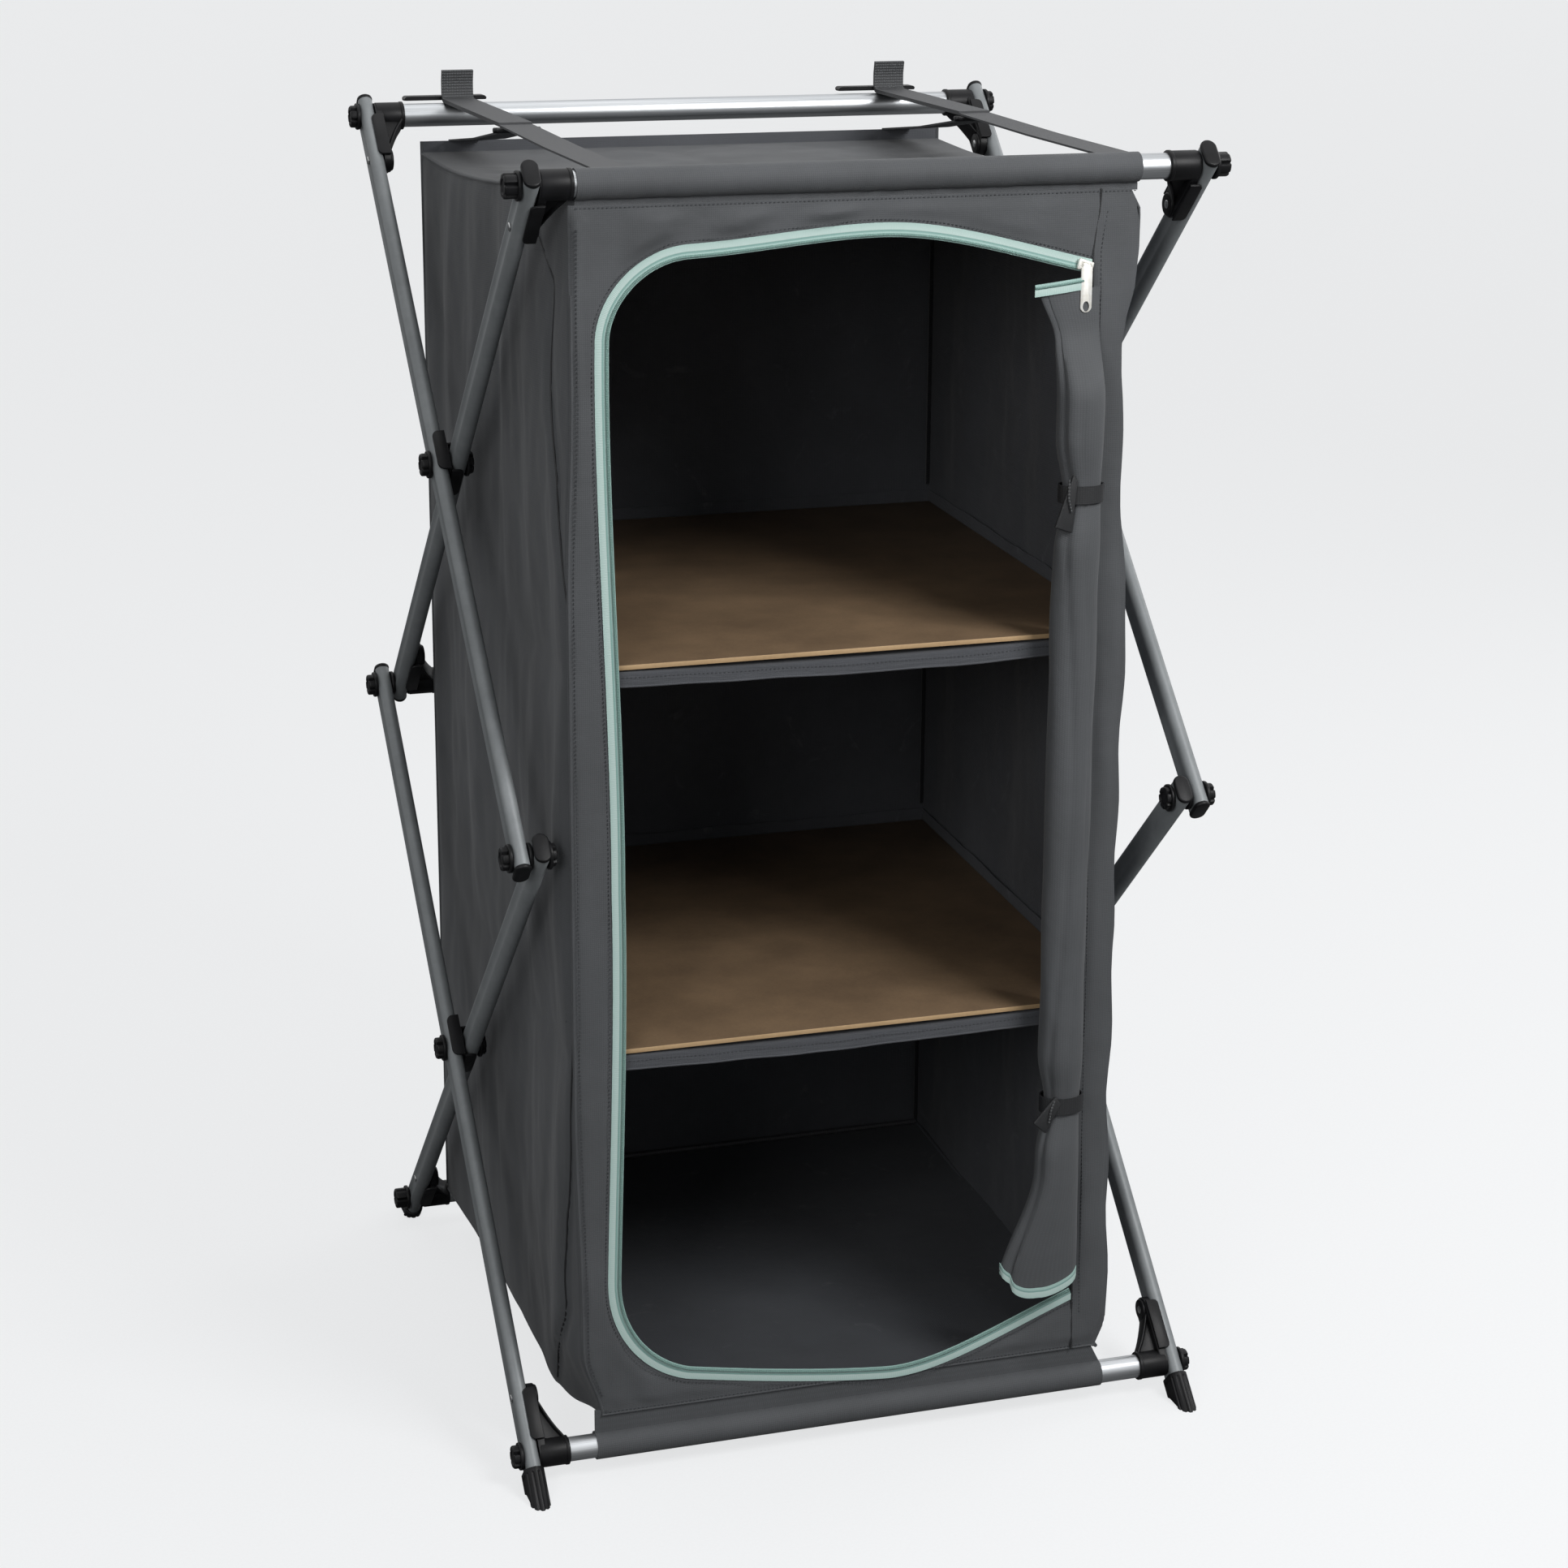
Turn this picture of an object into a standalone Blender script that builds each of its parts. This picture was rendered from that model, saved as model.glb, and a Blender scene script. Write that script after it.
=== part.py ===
"""Folding camping cupboard: a two-storey scissor frame with a fabric cupboard hung inside it.

Metres, +Z up. The origin is on the floor under the middle of the frame, +X is the cupboard's right
as seen from its door, and +Y points to its back. Two H-shaped frames cross in each storey. Every
frame is one horizontal tube with a flat-oval bar bolted to each end.
"""

from math import atan2, cos, hypot, pi, sin

import bmesh
import bpy
from mathutils import Matrix, Vector

# Frame
WIDTH_OVER_BOLTS = 0.600  # between the outer faces of the bolt heads of the outer bars
PIVOT_DEPTH = 0.535  # front pivots to rear pivots
PIVOT_HEIGHT = 1.028  # bottom tubes to top tubes
FOOT_DROP = 0.026  # floor to the bottom tubes' axis
SEAT = 0.0003  # gap between pieces that touch
BAR_THICK = 0.0125
BAR_DEEP = 0.024
BAR_WALL = 0.0012
BAR_OVERRUN = 0.0155  # bar past its end pivots, with its end plug
FOOT_OVERRUN = 0.020  # bar past its pivot in a foot
TUBE_RADIUS = 0.010
TUBE_WALL = 0.0012

# Fasteners
BOLT_RADIUS = 0.003
HOLE_PLAY = 0.0006  # on the bolt's radius
HEAD_RADIUS = 0.0095
HEAD_HEIGHT = 0.008
HEAD_NOTCH = 0.0016
TALL_HEAD_HEIGHT = 0.0128  # corner bolts of the inner bars
INNER_HEAD_HEIGHT = 0.0065
BOLT_BITE = 0.003  # bolt end in a corner bracket
WASHER_RADIUS = 0.011

# Corner brackets
SOCKET_RADIUS = 0.0116
SOCKET_LENGTH = 0.026
SOCKET_FLOOR = 0.0045
BORE_PLAY = 0.0003
ARM_LENGTH = 0.060  # tube axis to the end of the arm
ARM_HALF_WIDTH = 0.0105
ARM_THICK = 0.007
WEB_LENGTH = 0.036
WEB_HALF_WIDTH = 0.0075

# Saddles round the bars where they cross
SADDLE_LENGTH = 0.038
SADDLE_BASE = 0.0011
SADDLE_CHEEK = 0.0018
SADDLE_REACH = 0.0095  # how far the cheeks come round the bar
SADDLE_RUNNING_GAP = 0.0006  # between the two saddles of a crossing
SADDLE_LIFTS = {True: 0.005, False: -0.009}  # up the bar from the pivot, on outer and inner bars

# End plugs and feet
PLUG_THICK = 0.003
FOOT_START = 0.014  # pivot to the foot's mouth
FOOT_THICK = 0.017
FOOT_DEEP = 0.028

# Fabric body
CLOTH = 0.0012
BODY_INSET_LEFT = 0.060  # side panels to the outer bolts' faces
BODY_INSET_RIGHT = 0.082
SLEEVE_WALL = 0.0014
TOP_SLEEVE_INSET = 0.005  # its right end to the right side panel
BOTTOM_SLEEVE_INSET = 0.009  # its left end to the left side panel
SLEEVE_TAIL = 0.006  # stitched hem beside the tube
FRONT_PANEL_OUT = 0.0020  # front panel in front of the tubes' axes
BACK_CLEAR = 0.0080  # back panel to the rear tubes
FLOOR_ABOVE = 0.0215  # floor cloth over the bottom tubes' axis
TOP_SAG = 0.031  # top panel's rear edge under the top tubes' axis
TOP_MID_SAG = 0.004
TOP_FALL_END = 0.87  # share of the depth in which the top panel falls
REAR_HEM = 0.010  # back panel's hem above the top panel
TOP_EASE = 0.0010  # side panels' tops to the top panel
TOP_NOTCH = 0.0040  # left panels' top front corner cut back from the bracket's swing
SIDE_SWELL = 0.010  # side panels' folds
BACK_SWELL = 0.004
BACK_HEM = 0.004  # back panel's hem under the floor
SIDE_HEM = 0.012  # side panels' hems over the bottom tubes' axis
SIDE_HEM_RISE = 0.010  # more at their middles
PANEL_ROWS = 12  # four for each bay
CORNER_PLEAT = 0.020  # front corner to the pleat behind it

# Door opening: the zip's line on the front panel
DOOR_INSET_LEFT = 0.027  # zip to the left side panel
DOOR_INSET_RIGHT_TOP = 0.042  # hinge seam to the right side panel
DOOR_INSET_RIGHT_BOTTOM = 0.030
DOOR_DROP = 0.041  # zip below the top tubes' axis, at its crest
DOOR_DROP_LEFT = 0.052
DOOR_DROP_RIGHT = 0.075
DOOR_BOTTOM = 0.030  # heights over the bottom tubes' axis
DOOR_BOTTOM_LEFT = 0.056
DOOR_BOTTOM_RIGHT = 0.080
DOOR_CORNER = 0.062
DOOR_CREST_X = 0.010
DOOR_TROUGH_X = 0.025
DOOR_WAIST = 0.480
PANEL_RIPPLE = 0.0022
TAPE_WIDTH = 0.011
TAPE_THICK = 0.0012

# Rolled door
ROLL_INSET = 0.033  # rolled door to the right side panel
ROLL_WIDTH = 0.042
ROLL_DEEP = 0.030
ROLL_DROP = 0.090  # its top below the top tubes' axis
ROLL_BOTTOM = 0.100
ROLL_FLARE = 0.082  # its width at the bottom
ROLL_FLARE_START = 0.208
ROLL_FOOT_DEEP = 0.018
ROLL_TAPER_DROP = 0.175  # below here it thickens from the flat top behind the zip's puller
ROLL_TAPER_LENGTH = 0.055
ROLL_TOP_DEEP = 0.0045
UPPER_TIE_DROP = 0.250  # below the top tubes' axis
LOWER_TIE_HEIGHT = 0.263
TIE_WIDTH = 0.014
TIE_THICK = 0.0014
TIE_PINCH = 0.84
TIE_PINCH_REACH = 0.05  # height over which the roll narrows to a tie
TIE_TAB_WIDTH = 0.016  # the tie's toggle, in front of the band
TIE_TAB_LENGTH = 0.046
TIE_TAB_THICK = 0.0035
TIE_TAB_STAND = 0.0065
TIE_TAB_DROP = 0.003
TIE_TAB_LAP = 0.006
TIE_NECK = 0.010

# Shelves
UPPER_SHELF_DROP = 0.368  # upper board's top below the top tubes' axis
LOWER_SHELF_HEIGHT = 0.344  # lower board's top over the bottom tubes' axis
BOARD_THICK = 0.004
BOARD_MARGIN = 0.0020  # board to each side panel
BOARD_FRONT_BACK = 0.0060  # board's front edge behind the front panel
BOARD_REAR_CLEAR = 0.0080
SLING_HEM = 0.011
SLING_SAG = 0.004

# Zip slider
SLIDER_LENGTH = 0.013
SLIDER_WIDTH = 0.009
SLIDER_THICK = 0.0032
SLIDER_BEVEL = 0.0009
PULLER_LENGTH = 0.037
PULLER_WIDTH = 0.0095
PULLER_THICK = 0.0016
PULLER_HOLE = 0.0026
PULLER_PLAY = 0.0005  # puller to slider

# Straps over the top
STRAP_WIDTH = 0.028
STRAP_THICK = 0.0016
STRAP_INSET_LEFT = 0.037  # strap's middle to the side panel
STRAP_INSET_RIGHT = 0.018
STRAP_SEAM_Y = 0.050
STRAP_BEND = 0.004  # rear tube's axis to the standing pull loop
PULL_LOOP = 0.026
HOOK_LENGTH = 0.074
HOOK_OFFSET = -0.010
HOOK_DEEP = 0.012
HOOK_THICK = 0.0036

# Level of detail
ROUND_SIDES = 16
BOLT_SIDES = 8
OVAL_STEPS = 5  # edges round each end of a flat oval
SHARP_ANGLE = 0.8  # radians: edges that turn less are shaded smooth

# Worked out from the sizes above
AXIS_Z = FOOT_DROP
FRONT_Y = -PIVOT_DEPTH / 2
REAR_Y = PIVOT_DEPTH / 2
MID_Z = AXIS_Z + PIVOT_HEIGHT / 2
TOP_Z = AXIS_Z + PIVOT_HEIGHT
BAR_LENGTH = hypot(PIVOT_DEPTH, PIVOT_HEIGHT / 2)  # between its end pivots
BAR_GAP = 2 * (SEAT + SADDLE_BASE) + SADDLE_RUNNING_GAP  # between an outer and an inner bar
OUTER_BAR_X = WIDTH_OVER_BOLTS / 2 - HEAD_HEIGHT - SEAT - BAR_THICK / 2
INNER_BAR_X = OUTER_BAR_X - BAR_THICK - BAR_GAP
HOLE_RADIUS = BOLT_RADIUS + HOLE_PLAY
BODY_LEFT = BODY_INSET_LEFT - WIDTH_OVER_BOLTS / 2
BODY_RIGHT = WIDTH_OVER_BOLTS / 2 - BODY_INSET_RIGHT
BACK_RIGHT = -BODY_LEFT  # the back panel is even about the middle
TOP_SLEEVE_RIGHT = BODY_RIGHT - TOP_SLEEVE_INSET
BOTTOM_SLEEVE_LEFT = BODY_LEFT + BOTTOM_SLEEVE_INSET
DOOR_LEFT = BODY_LEFT + DOOR_INSET_LEFT
DOOR_RIGHT_TOP = BODY_RIGHT - DOOR_INSET_RIGHT_TOP
DOOR_RIGHT_BOTTOM = BODY_RIGHT - DOOR_INSET_RIGHT_BOTTOM
DOOR_TOP = PIVOT_HEIGHT - DOOR_DROP
DOOR_TOP_LEFT = PIVOT_HEIGHT - DOOR_DROP_LEFT
DOOR_TOP_RIGHT = PIVOT_HEIGHT - DOOR_DROP_RIGHT
ROLL_RIGHT = BODY_RIGHT - ROLL_INSET
ROLL_TOP = PIVOT_HEIGHT - ROLL_DROP
ROLL_TAPER_START = PIVOT_HEIGHT - ROLL_TAPER_DROP
ROLL_TAPER_END = ROLL_TAPER_START + ROLL_TAPER_LENGTH
TIE_HEIGHTS = (PIVOT_HEIGHT - UPPER_TIE_DROP, LOWER_TIE_HEIGHT)
SHELF_HEIGHTS = (PIVOT_HEIGHT - UPPER_SHELF_DROP, LOWER_SHELF_HEIGHT)
STRAP_CENTRES = (BODY_LEFT + STRAP_INSET_LEFT, BODY_RIGHT - STRAP_INSET_RIGHT)
SLEEVE_RADIUS = TUBE_RADIUS + SEAT + SLEEVE_WALL
PANEL_Y = FRONT_Y - FRONT_PANEL_OUT
BACK_Y = REAR_Y - TUBE_RADIUS - BACK_CLEAR
BOARD_FRONT = PANEL_Y + BOARD_FRONT_BACK
BOARD_REAR = BACK_Y - BOARD_REAR_CLEAR
FLOOR_Z = AXIS_Z + FLOOR_ABOVE
TOP_REAR_Z = TOP_Z - TOP_SAG
SEAM_RADIUS = TUBE_RADIUS + SEAT + SLEEVE_WALL / 2  # middle of a sleeve's wall
TOP_FRONT_Y = FRONT_Y + SEAM_RADIUS * cos(pi / 4)
TOP_FRONT_Z = TOP_Z - SEAM_RADIUS * sin(pi / 4)
TOP_SLEEVE_LEFT = BODY_LEFT + TOP_NOTCH + CLOTH / 2 + SEAT
ROLL_BACK_Y = PANEL_Y - CLOTH / 2 - SEAT
BOTTOM_SLEEVE_RIGHT = BODY_RIGHT - CLOTH / 2 - SEAT
STRAP_Z = TOP_Z + TUBE_RADIUS + SEAT + STRAP_THICK / 2  # straps' middle over the rear tube

# Colours: name, roughness, metallic
FINISHES = {
    "bar": ((0.125, 0.130, 0.135), 0.42, 0.55),
    "tube": ((0.62, 0.63, 0.65), 0.30, 1.0),
    "plastic": ((0.012, 0.012, 0.013), 0.42, 0.0),
    "cloth": ((0.045, 0.047, 0.052), 0.85, 0.0),
    "webbing": ((0.055, 0.056, 0.058), 0.80, 0.0),
    "tape": ((0.36, 0.62, 0.56), 0.70, 0.0),
    "board": ((0.23, 0.13, 0.065), 0.70, 0.0),
    "zinc": ((0.60, 0.60, 0.60), 0.28, 1.0),
}


# Scene and mesh helpers


def new_collection(name):
    collection = bpy.data.collections.new(name)
    bpy.context.scene.collection.children.link(collection)
    return collection


def mesh_from(bm, weld=0.00001):
    """A mesh of bm, with its doubles merged and its faces pointing out."""
    bmesh.ops.remove_doubles(bm, verts=bm.verts, dist=weld)
    bmesh.ops.recalc_face_normals(bm, faces=bm.faces)
    mesh = bpy.data.meshes.new("solid")
    bm.to_mesh(mesh)
    bm.free()
    return mesh


def evaluated(obj):
    """The object's mesh after its modifiers. The object goes."""
    bpy.context.view_layer.update()
    graph = bpy.context.evaluated_depsgraph_get()
    mesh = bpy.data.meshes.new_from_object(obj.evaluated_get(graph))
    bpy.data.objects.remove(obj)
    return mesh


def on_bench(data):
    obj = bpy.data.objects.new("bench", data)
    bpy.context.scene.collection.objects.link(obj)
    return obj


def prism(outlines, length):
    """Closed outlines in X and Y, filled between them and drawn out along Z about Z = 0."""
    curve = bpy.data.curves.new("outline", "CURVE")
    curve.dimensions = "2D"
    curve.fill_mode = "BOTH"
    curve.extrude = length / 2
    for points in outlines:
        spline = curve.splines.new("POLY")
        spline.points.add(len(points) - 1)
        for point, (x, y) in zip(spline.points, points):
            point.co = (x, y, 0, 1)
        spline.use_cyclic_u = True
    mesh = evaluated(on_bench(curve))
    bm = bmesh.new()
    bm.from_mesh(mesh)
    return mesh_from(bm)


def cylinder(radius, start, end, sides):
    """A round bar along X from start to end."""
    bm = bmesh.new()
    turn = Matrix.Translation(((start + end) / 2, 0, 0)) @ Matrix.Rotation(pi / 2, 4, "Y")
    bmesh.ops.create_cone(
        bm, cap_ends=True, segments=sides, radius1=radius, radius2=radius,
        depth=abs(end - start), matrix=turn,
    )
    return mesh_from(bm)


def box(low, high):
    bm = bmesh.new()
    low, high = Vector(low), Vector(high)
    size = high - low
    place = Matrix.Translation((low + high) / 2) @ Matrix.Diagonal((*size, 1))
    bmesh.ops.create_cube(bm, size=1, matrix=place)
    return mesh_from(bm)


def loft(rings):
    """Closed rings with the same number of points, joined in order and closed at both ends."""
    bm = bmesh.new()
    rows = [[bm.verts.new(point) for point in ring] for ring in rings]
    count = len(rows[0])
    for low, high in zip(rows, rows[1:]):
        for i in range(count):
            j = (i + 1) % count
            bm.faces.new((low[i], low[j], high[j], high[i]))
    bm.faces.new(rows[0])
    bm.faces.new(rows[-1])
    return mesh_from(bm)


def moved(mesh, matrix):
    """A copy of the mesh through matrix, with its faces still pointing out."""
    copy = mesh.copy()
    copy.transform(matrix)
    if matrix.determinant() < 0:
        copy.flip_normals()
    return copy


def boolean(mesh, tool, operation):
    base, other = on_bench(mesh), on_bench(tool)
    modifier = base.modifiers.new("shape", "BOOLEAN")
    modifier.operation = operation
    modifier.solver = "EXACT"
    modifier.object = other
    result = evaluated(base)
    bpy.data.objects.remove(other)
    return result


def union(first, *others):
    for other in others:
        first = boolean(first, other, "UNION")
    return first


def cut(mesh, *tools):
    for tool in tools:
        mesh = boolean(mesh, tool, "DIFFERENCE")
    return mesh


def sheet(point, across, along, thick=CLOTH):
    """Cloth through point(u, v), with u and v from 0 to 1, thickened evenly to both sides."""
    bm = bmesh.new()
    bmesh.ops.create_grid(bm, x_segments=across, y_segments=along, size=0.5)
    for vert in bm.verts:
        vert.co = point(vert.co.x + 0.5, vert.co.y + 0.5)
    mesh = bpy.data.meshes.new("sheet")
    bm.to_mesh(mesh)
    bm.free()
    obj = on_bench(mesh)
    wall = obj.modifiers.new("cloth", "SOLIDIFY")
    wall.thickness = thick
    wall.offset = 0
    wall.use_even_offset = True
    bm = bmesh.new()
    bm.from_mesh(evaluated(obj))
    return mesh_from(bm)


# Outlines


def circle(radius, sides=ROUND_SIDES):
    turns = [2 * pi * (i + 0.5) / sides for i in range(sides)]
    return [(radius * cos(turn), radius * sin(turn)) for turn in turns]


def half_circle(radius, y, end, steps):
    """Half a circle round (0, y), anticlockwise: its upper half if end is 1, its lower if -1."""
    turns = [pi * i / steps for i in range(steps + 1)]
    return [(end * radius * cos(turn), y + end * radius * sin(turn)) for turn in turns]


def oval(thick, deep, steps=OVAL_STEPS):
    """A flat oval, thick along X and deep along Y, with round ends."""
    radius, flat = thick / 2, (deep - thick) / 2
    points = []
    for end, base in ((1, 0), (-1, pi)):
        for i in range(steps + 1):
            angle = base + pi * i / steps
            points.append((radius * cos(angle), end * flat + radius * sin(angle)))
    return points


def ribbon(path, width, thick, across):
    """A flat band along path. across is the direction of its width at every point."""
    across = Vector(across).normalized()
    path = [Vector(point) for point in path]
    rings = []
    for i, point in enumerate(path):
        heading = path[min(i + 1, len(path) - 1)] - path[max(i - 1, 0)]
        up = across.cross(heading).normalized()
        side, lift = across * width / 2, up * thick / 2
        rings.append([point - side - lift, point + side - lift, point + side + lift, point - side + lift])
    return loft(rings)


# Frames: each one's bars run from its corner tube to its far pivots.
# name: (bar centre from the middle, corner y and z, far y and z)
FRAMES = {
    "bottom_front": (OUTER_BAR_X, (FRONT_Y, AXIS_Z), (REAR_Y, MID_Z)),
    "bottom_rear": (INNER_BAR_X, (REAR_Y, AXIS_Z), (FRONT_Y, MID_Z)),
    "top_front": (INNER_BAR_X, (FRONT_Y, TOP_Z), (REAR_Y, MID_Z)),
    "top_rear": (OUTER_BAR_X, (REAR_Y, TOP_Z), (FRONT_Y, MID_Z)),
}

# In a bar's own space X is its thickness, with the cupboard's middle at +X for a left bar, and Z
# runs along it from the far pivot to the corner tube. Its middle is the origin.
TO_CORNER = Matrix.Translation((0, 0, BAR_LENGTH / 2))
TO_FAR = Matrix.Translation((0, 0, -BAR_LENGTH / 2)) @ Matrix.Rotation(pi, 4, "X")
INNER_FACE = BAR_THICK / 2 + SEAT
OUTER_FACE = -INNER_FACE
MIRROR = Matrix.Diagonal((-1, 1, 1, 1))


def bar_place(frame, side=-1):
    """Where a frame's bar stands: side is -1 for the left one and 1 for the right one."""
    x, (corner_y, corner_z), (far_y, far_z) = FRAMES[frame]
    tilt = atan2(far_y - corner_y, corner_z - far_z)
    middle = Vector((side * x, (corner_y + far_y) / 2, (corner_z + far_z) / 2))
    return Matrix.Translation(middle) @ Matrix.Rotation(tilt, 4, "X")


def make_bar(corner_overrun):
    """A hollow bar, closed at both ends by its plugs, with a hole at each pivot."""
    low, high = -BAR_LENGTH / 2 - BAR_OVERRUN, BAR_LENGTH / 2 + corner_overrun
    middle = Matrix.Translation((0, 0, (low + high) / 2))
    bar = moved(prism([oval(BAR_THICK, BAR_DEEP)], high - low), middle)
    inner = oval(BAR_THICK - 2 * BAR_WALL, BAR_DEEP - 2 * BAR_WALL)
    bar = cut(bar, moved(prism([inner], high - low - 2 * PLUG_THICK), middle))
    for place in (-BAR_LENGTH / 2, 0, BAR_LENGTH / 2):
        hole = cylinder(HOLE_RADIUS, -BAR_THICK, BAR_THICK, BOLT_SIDES)
        bar = cut(bar, moved(hole, Matrix.Translation((0, 0, place))))
    return bar


def knob(start, height, turn=1):
    """A notched round bolt head from start, outwards if turn is -1 and inwards if it is 1."""
    notches = 6
    points = []
    for i in range(notches * 3):
        radius = HEAD_RADIUS - (HEAD_NOTCH if i % 3 == 0 else 0)
        angle = 2 * pi * i / (notches * 3)
        points.append((radius * cos(angle), radius * sin(angle)))
    middle = start + turn * height / 2
    place = Matrix.Translation((middle, 0, 0)) @ Matrix.Rotation(pi / 2, 4, "Y")
    return moved(prism([points], height), place)


def through_bolt(head, end, inner_head=0.0):
    """A bolt: its head on the bar's outer face, its shank as far as end, an inner head there."""
    bolt = union(
        knob(OUTER_FACE, head, -1),
        cylinder(BOLT_RADIUS, OUTER_FACE - head / 2, end + inner_head / 2, BOLT_SIDES),
    )
    if inner_head:
        bolt = union(bolt, knob(end, inner_head))
    return bolt


def make_bracket():
    """A corner bracket at the tube's axis: a socket for the tube and an arm down the bar."""
    arm_points = half_circle(SOCKET_RADIUS, 0, 1, 8)
    arm_points += half_circle(ARM_HALF_WIDTH, ARM_HALF_WIDTH - ARM_LENGTH, -1, 6)
    # The outline lies in Y and Z, and its thickness along X.
    stand = Matrix(((0, 0, 1, 0), (1, 0, 0, 0), (0, 1, 0, 0), (0, 0, 0, 1)))
    arm_middle = Matrix.Translation((INNER_FACE + ARM_THICK / 2, 0, 0))
    arm = moved(prism([arm_points], ARM_THICK), arm_middle @ stand)
    socket = cylinder(SOCKET_RADIUS, INNER_FACE + ARM_THICK / 2, INNER_FACE + SOCKET_LENGTH, ROUND_SIDES)
    web_points = [
        (INNER_FACE + SEAT, 0),
        (INNER_FACE + SOCKET_LENGTH - SEAT, 0),
        (INNER_FACE + SOCKET_LENGTH - SEAT, -SOCKET_RADIUS * 0.9),
        (INNER_FACE + ARM_THICK - SEAT, -WEB_LENGTH),
        (INNER_FACE + SEAT, -WEB_LENGTH),
    ]
    web = moved(prism([web_points], 2 * WEB_HALF_WIDTH), Matrix.Rotation(pi / 2, 4, "X"))
    bore = cylinder(
        TUBE_RADIUS + BORE_PLAY, INNER_FACE + SOCKET_FLOOR, INNER_FACE + 2 * SOCKET_LENGTH, ROUND_SIDES
    )
    return cut(union(arm, socket, web), bore)


def make_corner_bracket(head):
    """A bracket with its own bolt, which holds it to the bar."""
    return union(make_bracket(), through_bolt(head, INNER_FACE + BOLT_BITE))


def make_free_bracket():
    """A bracket whose bar turns on another frame's bolt."""
    return cut(make_bracket(), cylinder(HOLE_RADIUS, 0, INNER_FACE + BOLT_BITE + SEAT, BOLT_SIDES))


def make_foot():
    """A cup on a bar's corner end, in the bar's own space, long enough to be cut at the floor."""
    start, end = BAR_LENGTH / 2 + FOOT_START, BAR_LENGTH / 2 + 4 * FOOT_DROP
    body = prism([oval(FOOT_THICK, FOOT_DEEP)], end - start)
    pocket_end = BAR_LENGTH / 2 + FOOT_OVERRUN + SEAT
    pocket = prism([oval(BAR_THICK + 2 * SEAT, BAR_DEEP + 2 * SEAT)], 2 * (pocket_end - start))
    body = moved(body, Matrix.Translation((0, 0, (start + end) / 2)))
    return cut(body, moved(pocket, Matrix.Translation((0, 0, start))))


def make_saddle(inwards, lift):
    """A channel round a bar near its middle. Its base lies between the crossing bars."""
    cheek_in = BAR_DEEP / 2 + SEAT
    cheek_out = cheek_in + SADDLE_CHEEK
    base_in = BAR_THICK / 2 + SEAT
    base_out = base_in + SADDLE_BASE
    lip = base_in - SADDLE_REACH
    points = [
        (base_out, -cheek_out), (base_out, cheek_out), (lip, cheek_out), (lip, cheek_in),
        (base_in, cheek_in), (base_in, -cheek_in), (lip, -cheek_in), (lip, -cheek_out),
    ]
    saddle = moved(prism([points], SADDLE_LENGTH), Matrix.Translation((0, 0, lift)))
    return saddle if inwards else moved(saddle, MIRROR)


def make_tube(y, z, reach):
    """A cross tube at y and z. reach is how far from the middle it ends in its brackets."""
    tube = prism([circle(TUBE_RADIUS), circle(TUBE_RADIUS - TUBE_WALL)], 2 * reach)
    return moved(tube, Matrix.Translation((0, y, z)) @ Matrix.Rotation(pi / 2, 4, "Y"))


def tube_reach(bar_x):
    return bar_x - INNER_FACE - SOCKET_FLOOR - SEAT


# Fabric


def smooth(t):
    t = min(max(t, 0.0), 1.0)
    return t * t * (3 - 2 * t)


def hung(v, low, high):
    """Height at v up a panel that the shelves hold, and its slack: 0 at each shelf, 1 between them.

    Each bay has the same share of v, so that the rows of a panel meet the shelves.
    """
    levels = [low] + sorted(AXIS_Z + height - BOARD_THICK for height in SHELF_HEIGHTS) + [high]
    bays = len(levels) - 1
    bay = min(int(v * bays + 1e-6), bays - 1)
    share = v * bays - bay
    height = levels[bay] + (levels[bay + 1] - levels[bay]) * share
    return height, max(0.0, sin(pi * share)) ** 0.6


def top_height(y):
    """Height of the top panel, which falls from the front sleeve to the back."""
    t = (y - TOP_FRONT_Y) / (BACK_Y - TOP_FRONT_Y)
    return TOP_FRONT_Z + (TOP_REAR_Z - TOP_FRONT_Z) * smooth(t / TOP_FALL_END) - TOP_MID_SAG * sin(pi * t)


def side_x(side, y):
    """Where a side panel stands at depth y: the right one runs out to the wider back."""
    if side < 0:
        return BODY_LEFT
    return BODY_RIGHT + (BACK_RIGHT - BODY_RIGHT) * (y - PANEL_Y) / (BACK_Y - PANEL_Y)


def side_point(side, u, v):
    """A point of a side panel: u runs from the front to the back, and v from the hem up."""
    low_y, high_y = PANEL_Y + CLOTH + SEAT, BACK_Y - CLOTH - SEAT
    y = low_y + (high_y - low_y) * u
    top = min(top_height(y) - CLOTH - TOP_EASE, TOP_Z - SLEEVE_RADIUS - SEAT)
    z, slack = hung(v, AXIS_Z + SIDE_HEM + SIDE_HEM_RISE * sin(pi * u), top)
    edge = smooth(u / 0.06) * smooth((1 - u) / 0.06)
    pleat = -0.7 * max(0.0, 1 - abs(y - low_y - CORNER_PLEAT) / CORNER_PLEAT) ** 2
    broad = 0.30 * sin(2 * pi * (2.3 * u - 0.35 * v))
    fine = 0.15 * sin(2 * pi * (5.1 * u + 0.6 * v) + side)
    swell = SIDE_SWELL * slack * edge * max(0.05, 0.55 + broad + fine + pleat)
    if side > 0:
        return (side_x(side, y) + swell, y, z)
    notch = TOP_NOTCH * (1 - smooth(u / 0.1)) * smooth((v - 0.9) / 0.1)
    return (side_x(side, y) - swell + notch, y, z)


def back_point(u, v):
    x = BODY_LEFT + (BACK_RIGHT - BODY_LEFT) * u
    z, slack = hung(v, FLOOR_Z - BACK_HEM, TOP_REAR_Z + REAR_HEM)
    swell = BACK_SWELL * slack * sin(pi * u) * (0.5 + 0.5 * sin(2 * pi * 2.2 * u))
    return (x, BACK_Y - swell, z)


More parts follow.
